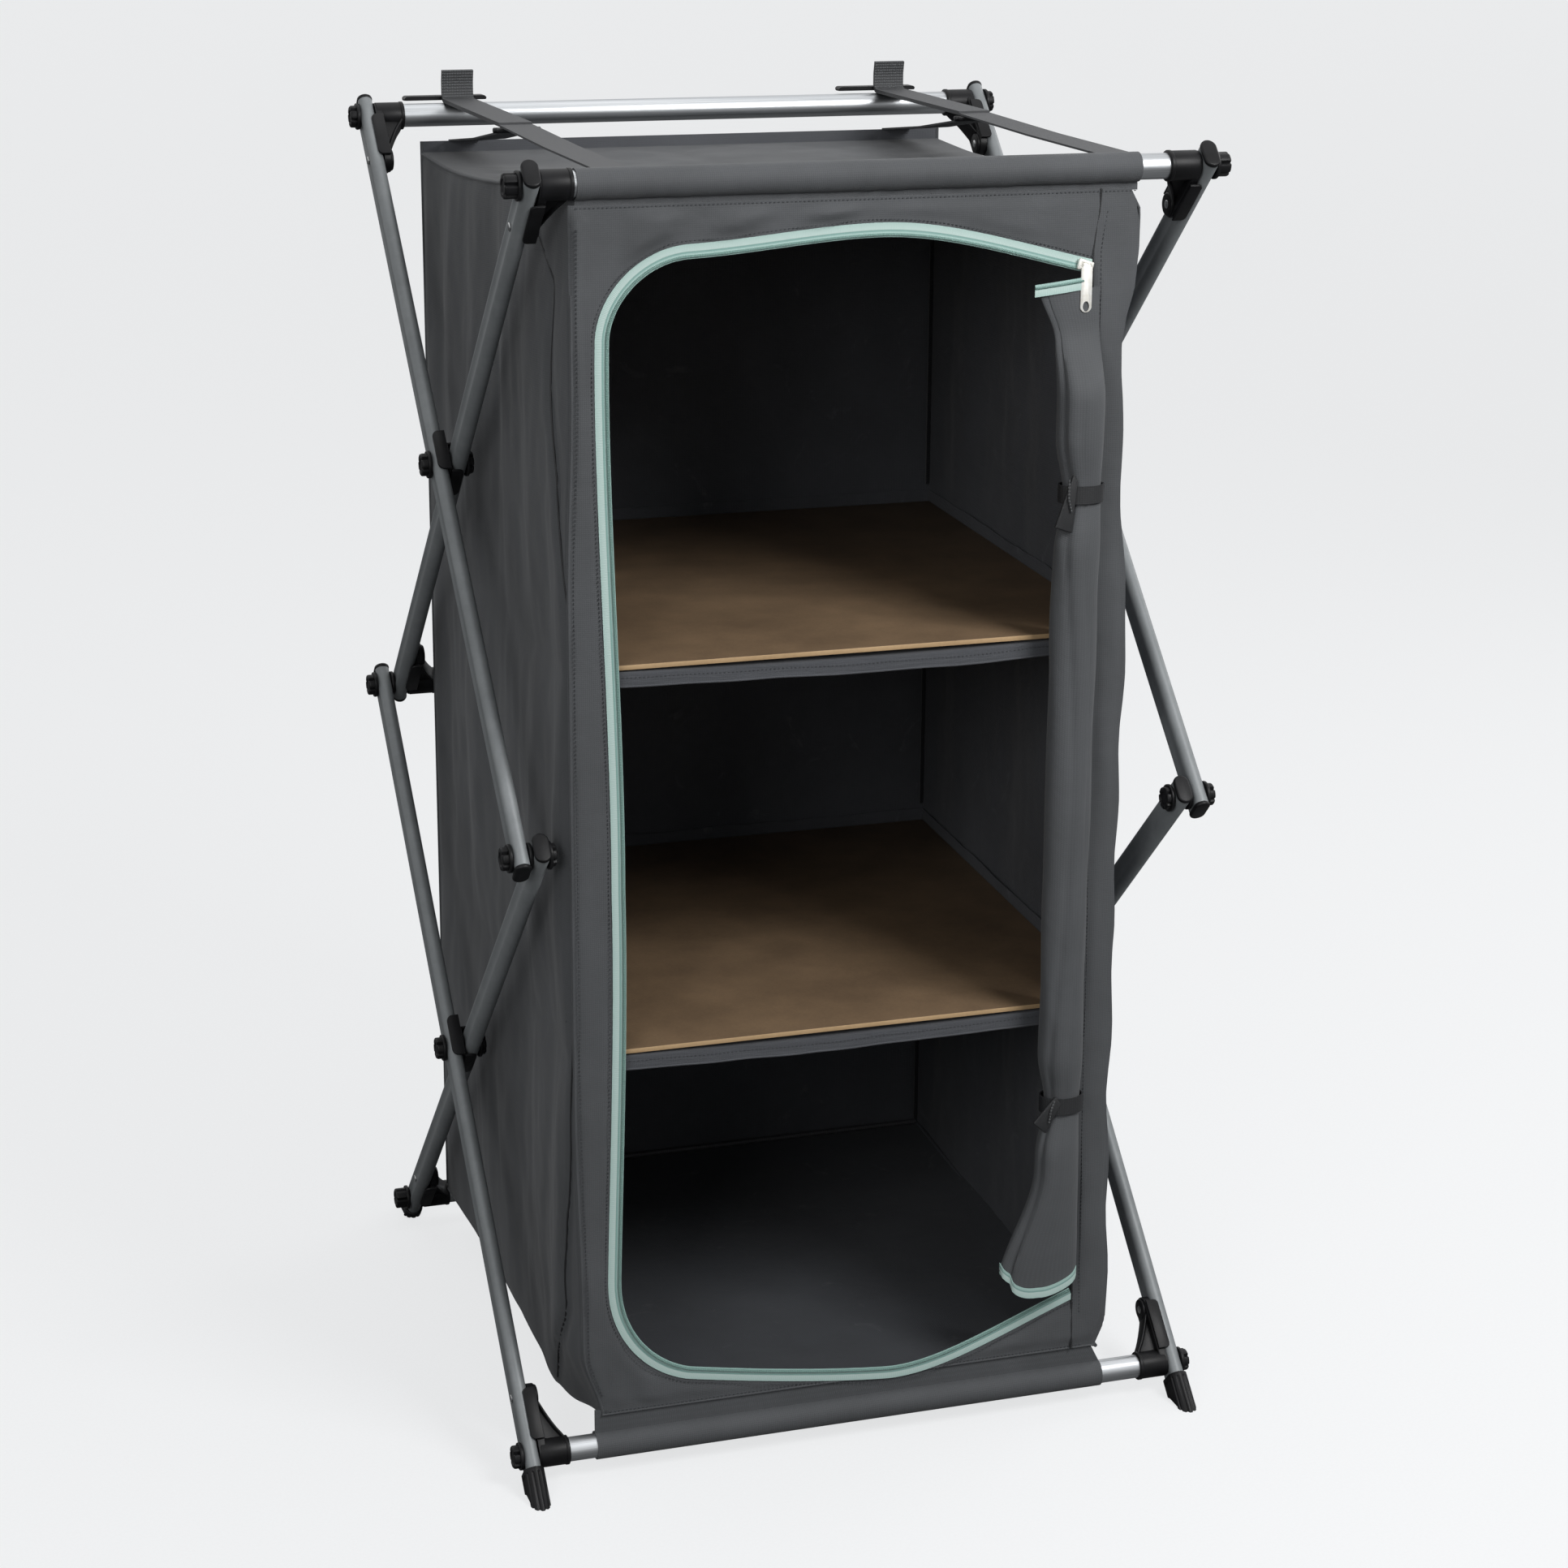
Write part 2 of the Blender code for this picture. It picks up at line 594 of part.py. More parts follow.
def top_point(u, v):
    y = TOP_FRONT_Y + (BACK_Y - CLOTH - SEAT - TOP_FRONT_Y) * v
    left = side_x(-1, y) + TOP_NOTCH * (1 - smooth(v / 0.1))
    x = left + (side_x(1, y) - left) * u
    return (x, y, top_height(y) - TOP_MID_SAG * sin(pi * u) * sin(pi * v))


def floor_point(u, v):
    y = PANEL_Y + CLOTH + SEAT + (BACK_Y - PANEL_Y - 2 * (CLOTH + SEAT)) * v
    left, right = side_x(-1, y) + CLOTH + SEAT, side_x(1, y) - CLOTH - SEAT
    x = left + (right - left) * u
    return (x, y, FLOOR_Z)


def bezier(a, b, c, d, steps):
    """Points of a cubic curve from a, without its end d."""
    points = []
    for i in range(steps):
        t = i / steps
        s = 1 - t
        points.append(tuple(
            s ** 3 * a[k] + 3 * s * s * t * b[k] + 3 * s * t * t * c[k] + t ** 3 * d[k] for k in range(2)
        ))
    return points


def zip_line():
    """The zip from its upper right end, over the top, down the left side and along the bottom.

    Its points are x and height over the bottom tubes' axis.
    """
    # Each anchor: its place, its handles before and after it, and the edges up to the next one.
    anchors = [
        ((DOOR_RIGHT_TOP, DOOR_TOP_RIGHT), (0, 0), (-0.061, 0.015), 6),
        ((DOOR_CREST_X, DOOR_TOP), (0.050, -0.001), (-0.050, 0.001), 5),
        ((DOOR_LEFT + DOOR_CORNER, DOOR_TOP_LEFT), (0.056, 0.002), (-0.034, -0.003), 5),
        ((DOOR_LEFT - 0.003, DOOR_TOP_LEFT - DOOR_CORNER), (0.003, 0.031), (-0.003, -0.114), 4),
        ((DOOR_LEFT + 0.006, DOOR_WAIST), (0.001, 0.140), (0.002, -0.120), 4),
        ((DOOR_LEFT, DOOR_BOTTOM_LEFT + 1.45 * DOOR_CORNER), (0.002, 0.094), (-0.001, -0.046), 5),
        ((DOOR_LEFT + DOOR_CORNER, DOOR_BOTTOM_LEFT), (-0.035, 0.010), (0.051, -0.010), 5),
        ((DOOR_TROUGH_X, DOOR_BOTTOM), (-0.055, 0.004), (0.045, -0.001), 5),
        ((DOOR_RIGHT_BOTTOM, DOOR_BOTTOM_RIGHT), (-0.073, -0.028), (0, 0), 0),
    ]
    line = []
    for (start, _, leave, steps), (end, arrive, _, _) in zip(anchors, anchors[1:]):
        first = (start[0] + leave[0], start[1] + leave[1])
        second = (end[0] + arrive[0], end[1] + arrive[1])
        line += bezier(start, first, second, end, steps)
    return line + [anchors[-1][0]]


def door_opening():
    """The opening's closed outline: the zip's line, then straight up the door's hinge seam."""
    line = zip_line()
    rise = 8
    (x0, z0), (x1, z1) = line[-1], line[0]
    return line + [(x0 + (x1 - x0) * i / rise, z0 + (z1 - z0) * i / rise) for i in range(1, rise)]


def make_front_panel():
    """The front panel: a ring of cloth between its hems and the door opening."""
    opening = door_opening()
    left, right = BODY_LEFT, BODY_RIGHT
    low, high = SLEEVE_RADIUS + SLEEVE_TAIL + SEAT, PIVOT_HEIGHT - SLEEVE_RADIUS - SLEEVE_TAIL - SEAT
    middle = Vector(((left + right) / 2, (low + high) / 2))
    rim = []
    for point in opening:
        ray = Vector(point) - middle
        grow = min(
            ((right if ray.x > 0 else left) - middle.x) / ray.x if abs(ray.x) > 1e-9 else 1e9,
            ((high if ray.y > 0 else low) - middle.y) / ray.y if abs(ray.y) > 1e-9 else 1e9,
        )
        rim.append(middle + ray * grow)
    for corner in ((left, low), (left, high), (right, low), (right, high)):
        nearest = min(range(len(rim)), key=lambda i: (rim[i] - Vector(corner)).length)
        rim[nearest] = Vector(corner)
    steps = 2
    bm = bmesh.new()
    rows = []
    for k in range(steps + 1):
        t = k / steps
        row = []
        for i, (inner, outer) in enumerate(zip(opening, rim)):
            flat = Vector(inner).lerp(outer, t)
            ripple = PANEL_RIPPLE * sin(pi * t) * sin(i * 0.9)
            row.append(bm.verts.new((flat.x, PANEL_Y + max(0.0, ripple), AXIS_Z + flat.y)))
        rows.append(row)
    count = len(opening)
    for a, b in zip(rows, rows[1:]):
        for i in range(count):
            j = (i + 1) % count
            bm.faces.new((a[i], a[j], b[j], b[i]))
    mesh = bpy.data.meshes.new("sheet")
    bm.to_mesh(mesh)
    bm.free()
    obj = on_bench(mesh)
    wall = obj.modifiers.new("cloth", "SOLIDIFY")
    wall.thickness = CLOTH
    wall.offset = 0
    bm = bmesh.new()
    bm.from_mesh(evaluated(obj))
    return mesh_from(bm)


def make_tape(line, y, width=TAPE_WIDTH):
    """Zip tape along a line of x and height, flat on the front panel."""
    rings = []
    points = [Vector((x, y, AXIS_Z + z)) for x, z in line]
    for i, point in enumerate(points):
        heading = points[min(i + 1, len(points) - 1)] - points[max(i - 1, 0)]
        side = Vector((heading.z, 0, -heading.x)).normalized() * width / 2
        lift = Vector((0, TAPE_THICK / 2, 0))
        rings.append([point - side - lift, point + side - lift, point + side + lift, point - side + lift])
    return loft(rings)


def sleeve(left, right, y, z, tail_up):
    """A sleeve of cloth round a tube, with its stitched hem up or down."""
    outer_radius, count = SLEEVE_RADIUS, ROUND_SIDES
    half = SLEEVE_WALL
    points = []
    start = pi / 2 + half / outer_radius
    turn = 2 * pi - 2 * half / outer_radius
    for i in range(count + 1):
        angle = start + turn * i / count
        points.append((outer_radius * cos(angle), outer_radius * sin(angle)))
    points += [(half, outer_radius + SLEEVE_TAIL), (-half, outer_radius + SLEEVE_TAIL)]
    bore = circle(TUBE_RADIUS + SEAT)
    body = prism([points, bore], right - left)
    flip = 1 if tail_up else -1
    # The outline's X becomes Y, its Y becomes Z, and its length lies along X.
    stand = Matrix(((0, 0, 1, 0), (flip, 0, 0, 0), (0, flip, 0, 0), (0, 0, 0, 1)))
    return moved(body, Matrix.Translation(((left + right) / 2, y, z)) @ stand)


def roll_size(height):
    """Centre x and y, width and depth of the rolled door at a height over the bottom tubes' axis."""
    taper = smooth((height - ROLL_TAPER_START) / (ROLL_TAPER_END - ROLL_TAPER_START))
    flare = smooth((ROLL_FLARE_START - height) / (ROLL_FLARE_START - ROLL_BOTTOM))
    width = ROLL_WIDTH + (ROLL_FLARE - ROLL_WIDTH) * flare
    deep = ROLL_DEEP + (ROLL_TOP_DEEP - ROLL_DEEP) * taper + (ROLL_FOOT_DEEP - ROLL_DEEP) * flare
    near = max(0.0, 1 - min(abs(height - tie) for tie in TIE_HEIGHTS) / TIE_PINCH_REACH)
    pinch = 1 - (1 - TIE_PINCH) * near
    return ROLL_RIGHT - width / 2, ROLL_BACK_Y - deep / 2, width * pinch, deep * pinch


def roll_ring(height, grow=0.0, sides=12):
    x, y, width, deep = roll_size(height)
    return [
        (
            x + (width / 2 + grow) * cos(2 * pi * i / sides),
            y + (deep / 2 + grow) * sin(2 * pi * i / sides),
            AXIS_Z + height,
        )
        for i in range(sides)
    ]


def make_roll():
    heights = [ROLL_BOTTOM + (ROLL_FLARE_START - ROLL_BOTTOM) * i / 5 for i in range(5)]
    heights += [ROLL_TAPER_START + (ROLL_TAPER_END - ROLL_TAPER_START) * i / 3 for i in range(4)]
    for tie in TIE_HEIGHTS:
        heights += [tie - TIE_PINCH_REACH, tie, tie + TIE_PINCH_REACH]
    return loft([roll_ring(height) for height in sorted(heights + [ROLL_TOP])])


def make_tie(height):
    """A tape tied round the rolled door, with its loose end hanging at the left."""
    outer = loft([roll_ring(height + d, SEAT + TIE_THICK) for d in (-TIE_WIDTH / 2, TIE_WIDTH / 2)])
    inner = loft([roll_ring(height + d, SEAT) for d in (-TIE_WIDTH, TIE_WIDTH)])
    x, y, width, deep = roll_size(height)
    y -= 0.35 * deep + SEAT
    left = x - 0.40 * width
    middle = AXIS_Z + height - TIE_TAB_DROP
    right = left + TIE_TAB_LAP
    back = y - TIE_TAB_STAND
    tab = box(
        (right - TIE_TAB_WIDTH, back - TIE_TAB_THICK, middle - TIE_TAB_LENGTH / 2),
        (right, back, middle + TIE_TAB_LENGTH / 2),
    )
    low, high = AXIS_Z + height - TIE_NECK / 2, AXIS_Z + height + TIE_NECK / 2
    neck = box(
        (left - TIE_NECK / 2, back - TIE_TAB_THICK / 2, low),
        (left + TIE_NECK / 2, y + TIE_THICK, high),
    )
    return cut(union(outer, tab, neck), inner)


# Shelves


def make_board(height):
    """A board that is cut to the fabric body, wider at its back."""
    ends = [(-1, BOARD_FRONT), (1, BOARD_FRONT), (1, BOARD_REAR), (-1, BOARD_REAR)]
    outline = [(side_x(side, y) - side * (CLOTH + BOARD_MARGIN), y) for side, y in ends]
    middle = AXIS_Z + height - BOARD_THICK / 2
    return moved(prism([outline], BOARD_THICK), Matrix.Translation((0, 0, middle)))


def make_sling(height):
    """The cloth shelf under a board, with a hem that hangs at its front."""
    top = AXIS_Z + height - BOARD_THICK - SEAT - CLOTH / 2
    reach = BACK_Y - CLOTH - SEAT - BOARD_FRONT

    def point(u, v):
        t = max(0.0, (v - 0.25) / 0.75)
        y = BOARD_FRONT + reach * t
        left, right = side_x(-1, y) + CLOTH / 2 + SEAT, side_x(1, y) - CLOTH / 2 - SEAT
        sag = SLING_SAG * sin(pi * u)
        hang = SLING_HEM * max(0.0, 1 - v / 0.25)
        return (left + (right - left) * u, y, top - sag * max(0.0, 1 - 2.2 * t) - hang)

    return sheet(point, 8, 8)


# Zip slider and its puller


def slider_place():
    """The slider's middle and the direction of the tape there."""
    line = zip_line()
    (x0, z0), (x1, z1) = line[0], line[1]
    heading = Vector((x1 - x0, 0, z1 - z0)).normalized()
    y = PANEL_Y - CLOTH / 2 - SEAT - TAPE_THICK - SEAT - SLIDER_THICK / 2
    return Vector((x0, y, AXIS_Z + z0)) + heading * SLIDER_LENGTH / 2, heading


def make_slider():
    middle, heading = slider_place()
    half = Vector((SLIDER_LENGTH, SLIDER_THICK, SLIDER_WIDTH)) / 2
    bm = bmesh.new()
    bm.from_mesh(box(-half, half))
    bmesh.ops.bevel(bm, geom=bm.edges, offset=SLIDER_BEVEL, segments=1, affect="EDGES", profile=0.5)
    body = mesh_from(bm)
    angle = atan2(heading.z, -heading.x)
    return moved(body, Matrix.Translation(middle) @ Matrix.Rotation(angle, 4, "Y"))


def puller_axis():
    middle, _ = slider_place()
    return middle + Vector((0, -SLIDER_THICK / 2 - PULLER_PLAY - PULLER_THICK / 2, 0))


def make_puller():
    """The puller hangs from its axis in front of the slider, with an oval eye near its end."""
    half = PULLER_WIDTH / 2
    rise = PULLER_THICK / 2 - half
    drop = PULLER_THICK / 2 - PULLER_LENGTH + half
    points = half_circle(half, rise, 1, 6) + half_circle(half, drop, -1, 6)
    eye = [(PULLER_HOLE * x, drop + PULLER_HOLE * 1.5 * y) for x, y in circle(1.0, 8)]
    plate = prism([points, eye], PULLER_THICK)
    return moved(plate, Matrix.Translation(puller_axis()) @ Matrix.Rotation(pi / 2, 4, "X"))


# Straps


def make_front_straps():
    """The straps' front halves, from the wall of the front sleeve to the seam on the top."""
    front_y = FRONT_Y + SEAM_RADIUS * cos(pi / 6)
    front_z = TOP_Z + SEAM_RADIUS * sin(pi / 6)
    straps = []
    for x in STRAP_CENTRES:
        path = [(x, front_y, front_z), (x, (front_y + STRAP_SEAM_Y) / 2, (front_z + STRAP_Z) / 2)]
        path.append((x, STRAP_SEAM_Y - SEAT, STRAP_Z))
        straps.append(ribbon(path, STRAP_WIDTH, STRAP_THICK, (1, 0, 0)))
    return straps


def make_rear_strap(x):
    """A strap's rear half over the rear tube, with its end turned up as a pull loop."""
    rear = STRAP_Z + STRAP_THICK / 2
    bend = STRAP_BEND
    path = [(x, STRAP_SEAM_Y + SEAT, rear), (x, REAR_Y - 0.5 * bend, rear)]
    path += [(x, REAR_Y + 0.8 * bend, rear + 0.5 * bend), (x, REAR_Y + bend, rear + 1.6 * bend)]
    path += [(x, REAR_Y + bend, rear + 0.6 * PULL_LOOP), (x, REAR_Y + 0.4 * bend, rear + PULL_LOOP)]
    return ribbon(path, STRAP_WIDTH, 2 * STRAP_THICK, (1, 0, 0))


def make_hook(x):
    """The flat plastic bar that holds a strap on the rear tube."""
    low = TOP_Z + TUBE_RADIUS + SEAT + STRAP_THICK
    front = REAR_Y + STRAP_BEND + STRAP_THICK + SEAT
    left = x + HOOK_OFFSET - HOOK_LENGTH / 2
    return box((left, front, low), (left + HOOK_LENGTH, front + HOOK_DEEP, low + HOOK_THICK))


# Bodies that move together, each with the point that its own joint turns or slides about
BODY_ORIGINS = {
    "cupboard_body": (0, 0, 0),
    "bottom_front_frame": (0, FRONT_Y, AXIS_Z),
    "bottom_rear_frame": (0, 0, (AXIS_Z + MID_Z) / 2),
    "top_front_frame": (0, REAR_Y, MID_Z),
    "top_rear_frame": (0, FRONT_Y, MID_Z),
    "top_cover": (0, FRONT_Y, TOP_Z),
    "upper_sling": (0, 0, AXIS_Z + SHELF_HEIGHTS[0]),
    "lower_sling": (0, 0, AXIS_Z + SHELF_HEIGHTS[1]),
    "upper_board": (0, 0, AXIS_Z + SHELF_HEIGHTS[0]),
    "lower_board": (0, 0, AXIS_Z + SHELF_HEIGHTS[1]),
    "zip_slider_body": tuple(slider_place()[0]),
    "zip_puller_body": tuple(puller_axis()),
    "left_strap": (STRAP_CENTRES[0], STRAP_SEAM_Y, STRAP_Z + STRAP_THICK / 2),
    "right_strap": (STRAP_CENTRES[1], STRAP_SEAM_Y, STRAP_Z + STRAP_THICK / 2),
}


def clear_scene():
    for obj in list(bpy.data.objects):
        bpy.data.objects.remove(obj)


def make_material(name, finish):
    colour, roughness, metallic = FINISHES[finish]
    material = bpy.data.materials.new(name)
    material.use_nodes = True
    shader = material.node_tree.nodes["Principled BSDF"]
    shader.inputs["Base Color"].default_value = (*colour, 1)
    shader.inputs["Roughness"].default_value = roughness
    shader.inputs["Metallic"].default_value = metallic
    return material


class Bench:
    """Puts finished nodes under their bodies' empties."""

    def __init__(self, collection):
        self.collection = collection
        self.empties = {}
        for name, origin in BODY_ORIGINS.items():
            empty = bpy.data.objects.new(name + "_axis", None)
            empty.location = origin
            collection.objects.link(empty)
            self.empties[name] = empty

    def add(self, body, name, mesh, finish, place=None):
        """Adds a node. Its mesh is in world space, or in its own space with place to stand it."""
        origin = Vector(BODY_ORIGINS[body])
        if place is None:
            mesh = moved(mesh, Matrix.Translation(-origin))
        obj = bpy.data.objects.new(name, mesh)
        obj.parent = self.empties[body]
        if place is not None:
            obj.location = place.to_translation() - origin
            obj.rotation_euler = place.to_euler()
        self.collection.objects.link(obj)
        obj.data.materials.clear()
        obj.data.materials.append(make_material(name, finish))
        for polygon in obj.data.polygons:
            polygon.material_index = 0
        obj.data.shade_smooth()
        obj.data.set_sharp_from_angle(angle=SHARP_ANGLE)


def make_cross_pivot(lift):
    """The bolt of a crossing, with the saddle of the outer bar that it passes through."""
    bolt = through_bolt(HEAD_HEIGHT, INNER_FACE + BAR_GAP + BAR_THICK, INNER_HEAD_HEIGHT)
    return union(make_saddle(True, lift), bolt)


def make_end_pivot(end, inner_head):
    """The bolt and washer where an outer bar's far end meets an inner bar's."""
    washer = cylinder(WASHER_RADIUS, BAR_THICK / 2 + SEAT, BAR_THICK / 2 + BAR_GAP - SEAT, ROUND_SIDES)
    return union(through_bolt(HEAD_HEIGHT, end, inner_head), washer)


def add_pair(bench, frame, name, mesh, finish, ground=None):
    """Adds a left-hand solid, given in the bar's own space, and its mirror image on the right."""
    left = moved(mesh, bar_place(frame))
    if ground:
        left = cut(left, ground)
    bench.add(frame + "_frame", name + "_left", left, finish)
    bench.add(frame + "_frame", name + "_right", moved(left, MIRROR), finish)


def add_frame(bench, frame, pivot_name):
    """One H frame: its tube, two bars, brackets, pivots or saddles, and its feet."""
    bar_x, (corner_y, corner_z), _ = FRAMES[frame]
    outer, top = bar_x == OUTER_BAR_X, frame.startswith("top")
    body = frame + "_frame"
    bench.add(body, frame + "_tube", make_tube(corner_y, corner_z, tube_reach(bar_x)), "tube")
    bar = make_bar(BAR_OVERRUN if top else FOOT_OVERRUN)
    for side, word in ((-1, "left"), (1, "right")):
        bench.add(body, f"{frame}_bar_{word}", bar.copy(), "bar", bar_place(frame, side))
    corner = make_corner_bracket(HEAD_HEIGHT if outer else TALL_HEAD_HEIGHT)
    add_pair(bench, frame, frame + "_bracket", moved(corner, TO_CORNER), "plastic")
    lift = SADDLE_LIFTS[outer] * (1 if top else -1)
    if outer:
        add_pair(bench, frame, pivot_name + "_cross_pivot", make_cross_pivot(lift), "plastic")
    else:
        bolt_hole = cylinder(HOLE_RADIUS, -2 * BAR_THICK, 0, BOLT_SIDES)
        add_pair(bench, frame, frame + "_saddle", cut(make_saddle(False, lift), bolt_hole), "plastic")
    if not top:
        ground = box((-1, -1, -1), (1, 1, 0))
        add_pair(bench, frame, frame + "_foot", make_foot(), "plastic", ground)


def add_joints_between_storeys(bench):
    """The pivots at mid height, and the second tube of the top front frame behind them."""
    across = INNER_FACE + BAR_GAP + BAR_THICK
    front = make_end_pivot(across, INNER_HEAD_HEIGHT)
    add_pair(bench, "top_rear", "mid_front_pivot", moved(front, TO_FAR), "plastic")
    rear = make_end_pivot(across + BOLT_BITE, 0.0)
    add_pair(bench, "bottom_front", "mid_rear_pivot", moved(rear, TO_FAR), "plastic")
    bench.add("top_front_frame", "mid_rear_tube", make_tube(REAR_Y, MID_Z, tube_reach(INNER_BAR_X)), "tube")
    add_pair(bench, "top_front", "mid_rear_bracket", moved(make_free_bracket(), TO_FAR), "plastic")


def add_fabric(bench):
    body = "cupboard_body"
    bench.add(body, "front_panel", make_front_panel(), "cloth")
    bench.add(body, "left_side_panel", sheet(lambda u, v: side_point(-1, u, v), 12, PANEL_ROWS), "cloth")
    bench.add(body, "right_side_panel", sheet(lambda u, v: side_point(1, u, v), 12, PANEL_ROWS), "cloth")
    bench.add(body, "back_panel", sheet(back_point, 8, PANEL_ROWS), "cloth")
    bench.add(body, "floor_panel", sheet(floor_point, 2, 2), "cloth")
    lower = sleeve(BOTTOM_SLEEVE_LEFT, BOTTOM_SLEEVE_RIGHT, FRONT_Y, AXIS_Z, True)
    bench.add(body, "bottom_front_sleeve", lower, "cloth")
    tape_y = PANEL_Y - CLOTH / 2 - SEAT - TAPE_THICK / 2
    bench.add(body, "zip_tape", make_tape(zip_line(), tape_y), "tape")
    bench.add(body, "rolled_door", make_roll(), "cloth")
    for height, word in zip(TIE_HEIGHTS, ("upper", "lower")):
        bench.add(body, word + "_door_tie", make_tie(height), "webbing")

    upper = sleeve(TOP_SLEEVE_LEFT, TOP_SLEEVE_RIGHT, FRONT_Y, TOP_Z, False)
    bench.add("top_cover", "top_panel", union(upper, sheet(top_point, 8, 10), *make_front_straps()), "cloth")
    for x, word in zip(STRAP_CENTRES, ("left", "right")):
        bench.add(word + "_strap", word + "_rear_strap", make_rear_strap(x), "webbing")
        bench.add(word + "_strap", word + "_strap_hook", make_hook(x), "plastic")


def add_shelves(bench):
    for height, word in zip(SHELF_HEIGHTS, ("upper", "lower")):
        bench.add(word + "_sling", word + "_shelf_sling", make_sling(height), "cloth")
        bench.add(word + "_board", word + "_shelf_board", make_board(height), "board")


def add_zip(bench):
    bench.add("zip_slider_body", "zip_slider", make_slider(), "zinc")
    bench.add("zip_puller_body", "zip_puller", make_puller(), "zinc")


def main():
    clear_scene()
    bench = Bench(new_collection("camping_cupboard"))
    for frame in FRAMES:
        add_frame(bench, frame, "upper" if frame.startswith("top") else "lower")
    add_joints_between_storeys(bench)
    add_fabric(bench)
    add_shelves(bench)
    add_zip(bench)
    bpy.context.view_layer.update()


main()
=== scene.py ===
# Folding camping cupboard: the looks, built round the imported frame. Metres, +Z up, +Y to the back.
from math import atan2, cos, hypot, pi, radians, sin

import bmesh
import bpy
from mathutils import Matrix, Vector, noise


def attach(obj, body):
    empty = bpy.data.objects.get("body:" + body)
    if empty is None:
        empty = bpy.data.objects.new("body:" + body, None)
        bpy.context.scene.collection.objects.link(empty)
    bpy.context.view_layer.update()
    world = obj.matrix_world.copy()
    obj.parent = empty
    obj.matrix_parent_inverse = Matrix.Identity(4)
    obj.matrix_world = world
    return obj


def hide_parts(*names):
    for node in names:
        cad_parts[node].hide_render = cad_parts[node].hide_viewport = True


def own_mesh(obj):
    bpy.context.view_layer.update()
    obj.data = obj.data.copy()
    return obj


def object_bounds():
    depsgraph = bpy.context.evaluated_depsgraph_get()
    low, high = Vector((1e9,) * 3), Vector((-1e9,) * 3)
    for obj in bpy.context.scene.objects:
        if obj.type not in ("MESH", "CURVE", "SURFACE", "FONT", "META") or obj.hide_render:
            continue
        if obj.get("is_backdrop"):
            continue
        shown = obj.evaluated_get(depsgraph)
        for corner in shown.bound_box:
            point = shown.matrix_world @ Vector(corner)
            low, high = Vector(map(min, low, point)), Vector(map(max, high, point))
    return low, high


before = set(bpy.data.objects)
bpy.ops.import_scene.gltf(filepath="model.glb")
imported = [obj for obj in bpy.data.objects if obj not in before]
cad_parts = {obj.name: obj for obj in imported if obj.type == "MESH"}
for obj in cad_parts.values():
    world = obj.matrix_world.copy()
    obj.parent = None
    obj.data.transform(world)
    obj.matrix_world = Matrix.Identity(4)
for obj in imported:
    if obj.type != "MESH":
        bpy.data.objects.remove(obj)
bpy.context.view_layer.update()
bpy.ops.object.select_all(action="DESELECT")

# What the pieces share
place = {
    "frontY": -0.2675, "rearY": 0.2675,
    "lowZ": 0.026, "midZ": 0.540, "topZ": 1.054,  # tubes' and pivots' axes
    "outerBarX": 0.28545, "innerBarX": 0.26955,
    "seat": 0.0003,  # gap between touching pieces
    "tubeRadius": 0.010,
}
barLength = hypot(place["rearY"] - place["frontY"], place["midZ"] - place["lowZ"])
frames = {
    "bottom_front": ("outerBarX", ("frontY", "lowZ"), ("rearY", "midZ")),
    "bottom_rear": ("innerBarX", ("rearY", "lowZ"), ("frontY", "midZ")),
    "top_front": ("innerBarX", ("frontY", "topZ"), ("rearY", "midZ")),
    "top_rear": ("outerBarX", ("rearY", "topZ"), ("frontY", "midZ")),
}
tapeWidth = 0.011
wavePeriod = 0.31416  # of Blender's wave texture at a scale of 1


# Materials

def linearColour(text):
    channels = [int(text[i:i + 2], 16) / 255 for i in (1, 3, 5)]
    return [c / 12.92 if c <= 0.04045 else ((c + 0.055) / 1.055) ** 2.4 for c in channels] + [1.0]


def addNode(tree, kind, links=None, inputs=None, feeds=None, **settings):
    node = tree.nodes.new("ShaderNode" + kind)
    for name, value in settings.items():
        setattr(node, name, value)
    for socket, value in (inputs or {}).items():
        node.inputs[socket].default_value = value
    for socket, source in (links or {}).items():
        tree.links.new(source, node.inputs[socket])
    if feeds:
        tree.links.new(node.outputs[0], feeds)
    return node


def startMaterial(name, roughness, metallic=0.0, ior=None, space="Object"):
    material = bpy.data.materials.new(name)
    material.use_nodes = True
    tree = material.node_tree
    shader = tree.nodes["Principled BSDF"]
    shader.inputs["Roughness"].default_value = roughness
    shader.inputs["Metallic"].default_value = metallic
    if ior:
        shader.inputs["IOR"].default_value = ior
    return material, tree, shader, addNode(tree, "TexCoord").outputs[space]


def mixColours(tree, shader, amount, colours, places):
    ramp = addNode(tree, "ValToRGB", {"Fac": amount}, None, shader.inputs["Base Color"])
    stops = ramp.color_ramp.elements
    stops[0].position, stops[1].position = places[0], places[-1]
    for text, at in zip(colours[1:-1], places[1:-1]):
        stops.new(at).color = linearColour(text)
    stops[0].color, stops[-1].color = linearColour(colours[0]), linearColour(colours[-1])
    return ramp.outputs["Color"]


def dusted(tree, shader, colour, marks, low, most, dust):
    # A paler colour where the marks are strongest
    amount = addNode(tree, "MapRange", {"Value": marks}, {"From Min": low, "From Max": 0.80, "To Max": most})
    mixed = addNode(tree, "Mix", {"Factor": amount.outputs[0], "A": colour}, {"B": linearColour(dust)},
                    data_type="RGBA")
    tree.links.new(mixed.outputs["Result"], shader.inputs["Base Color"])


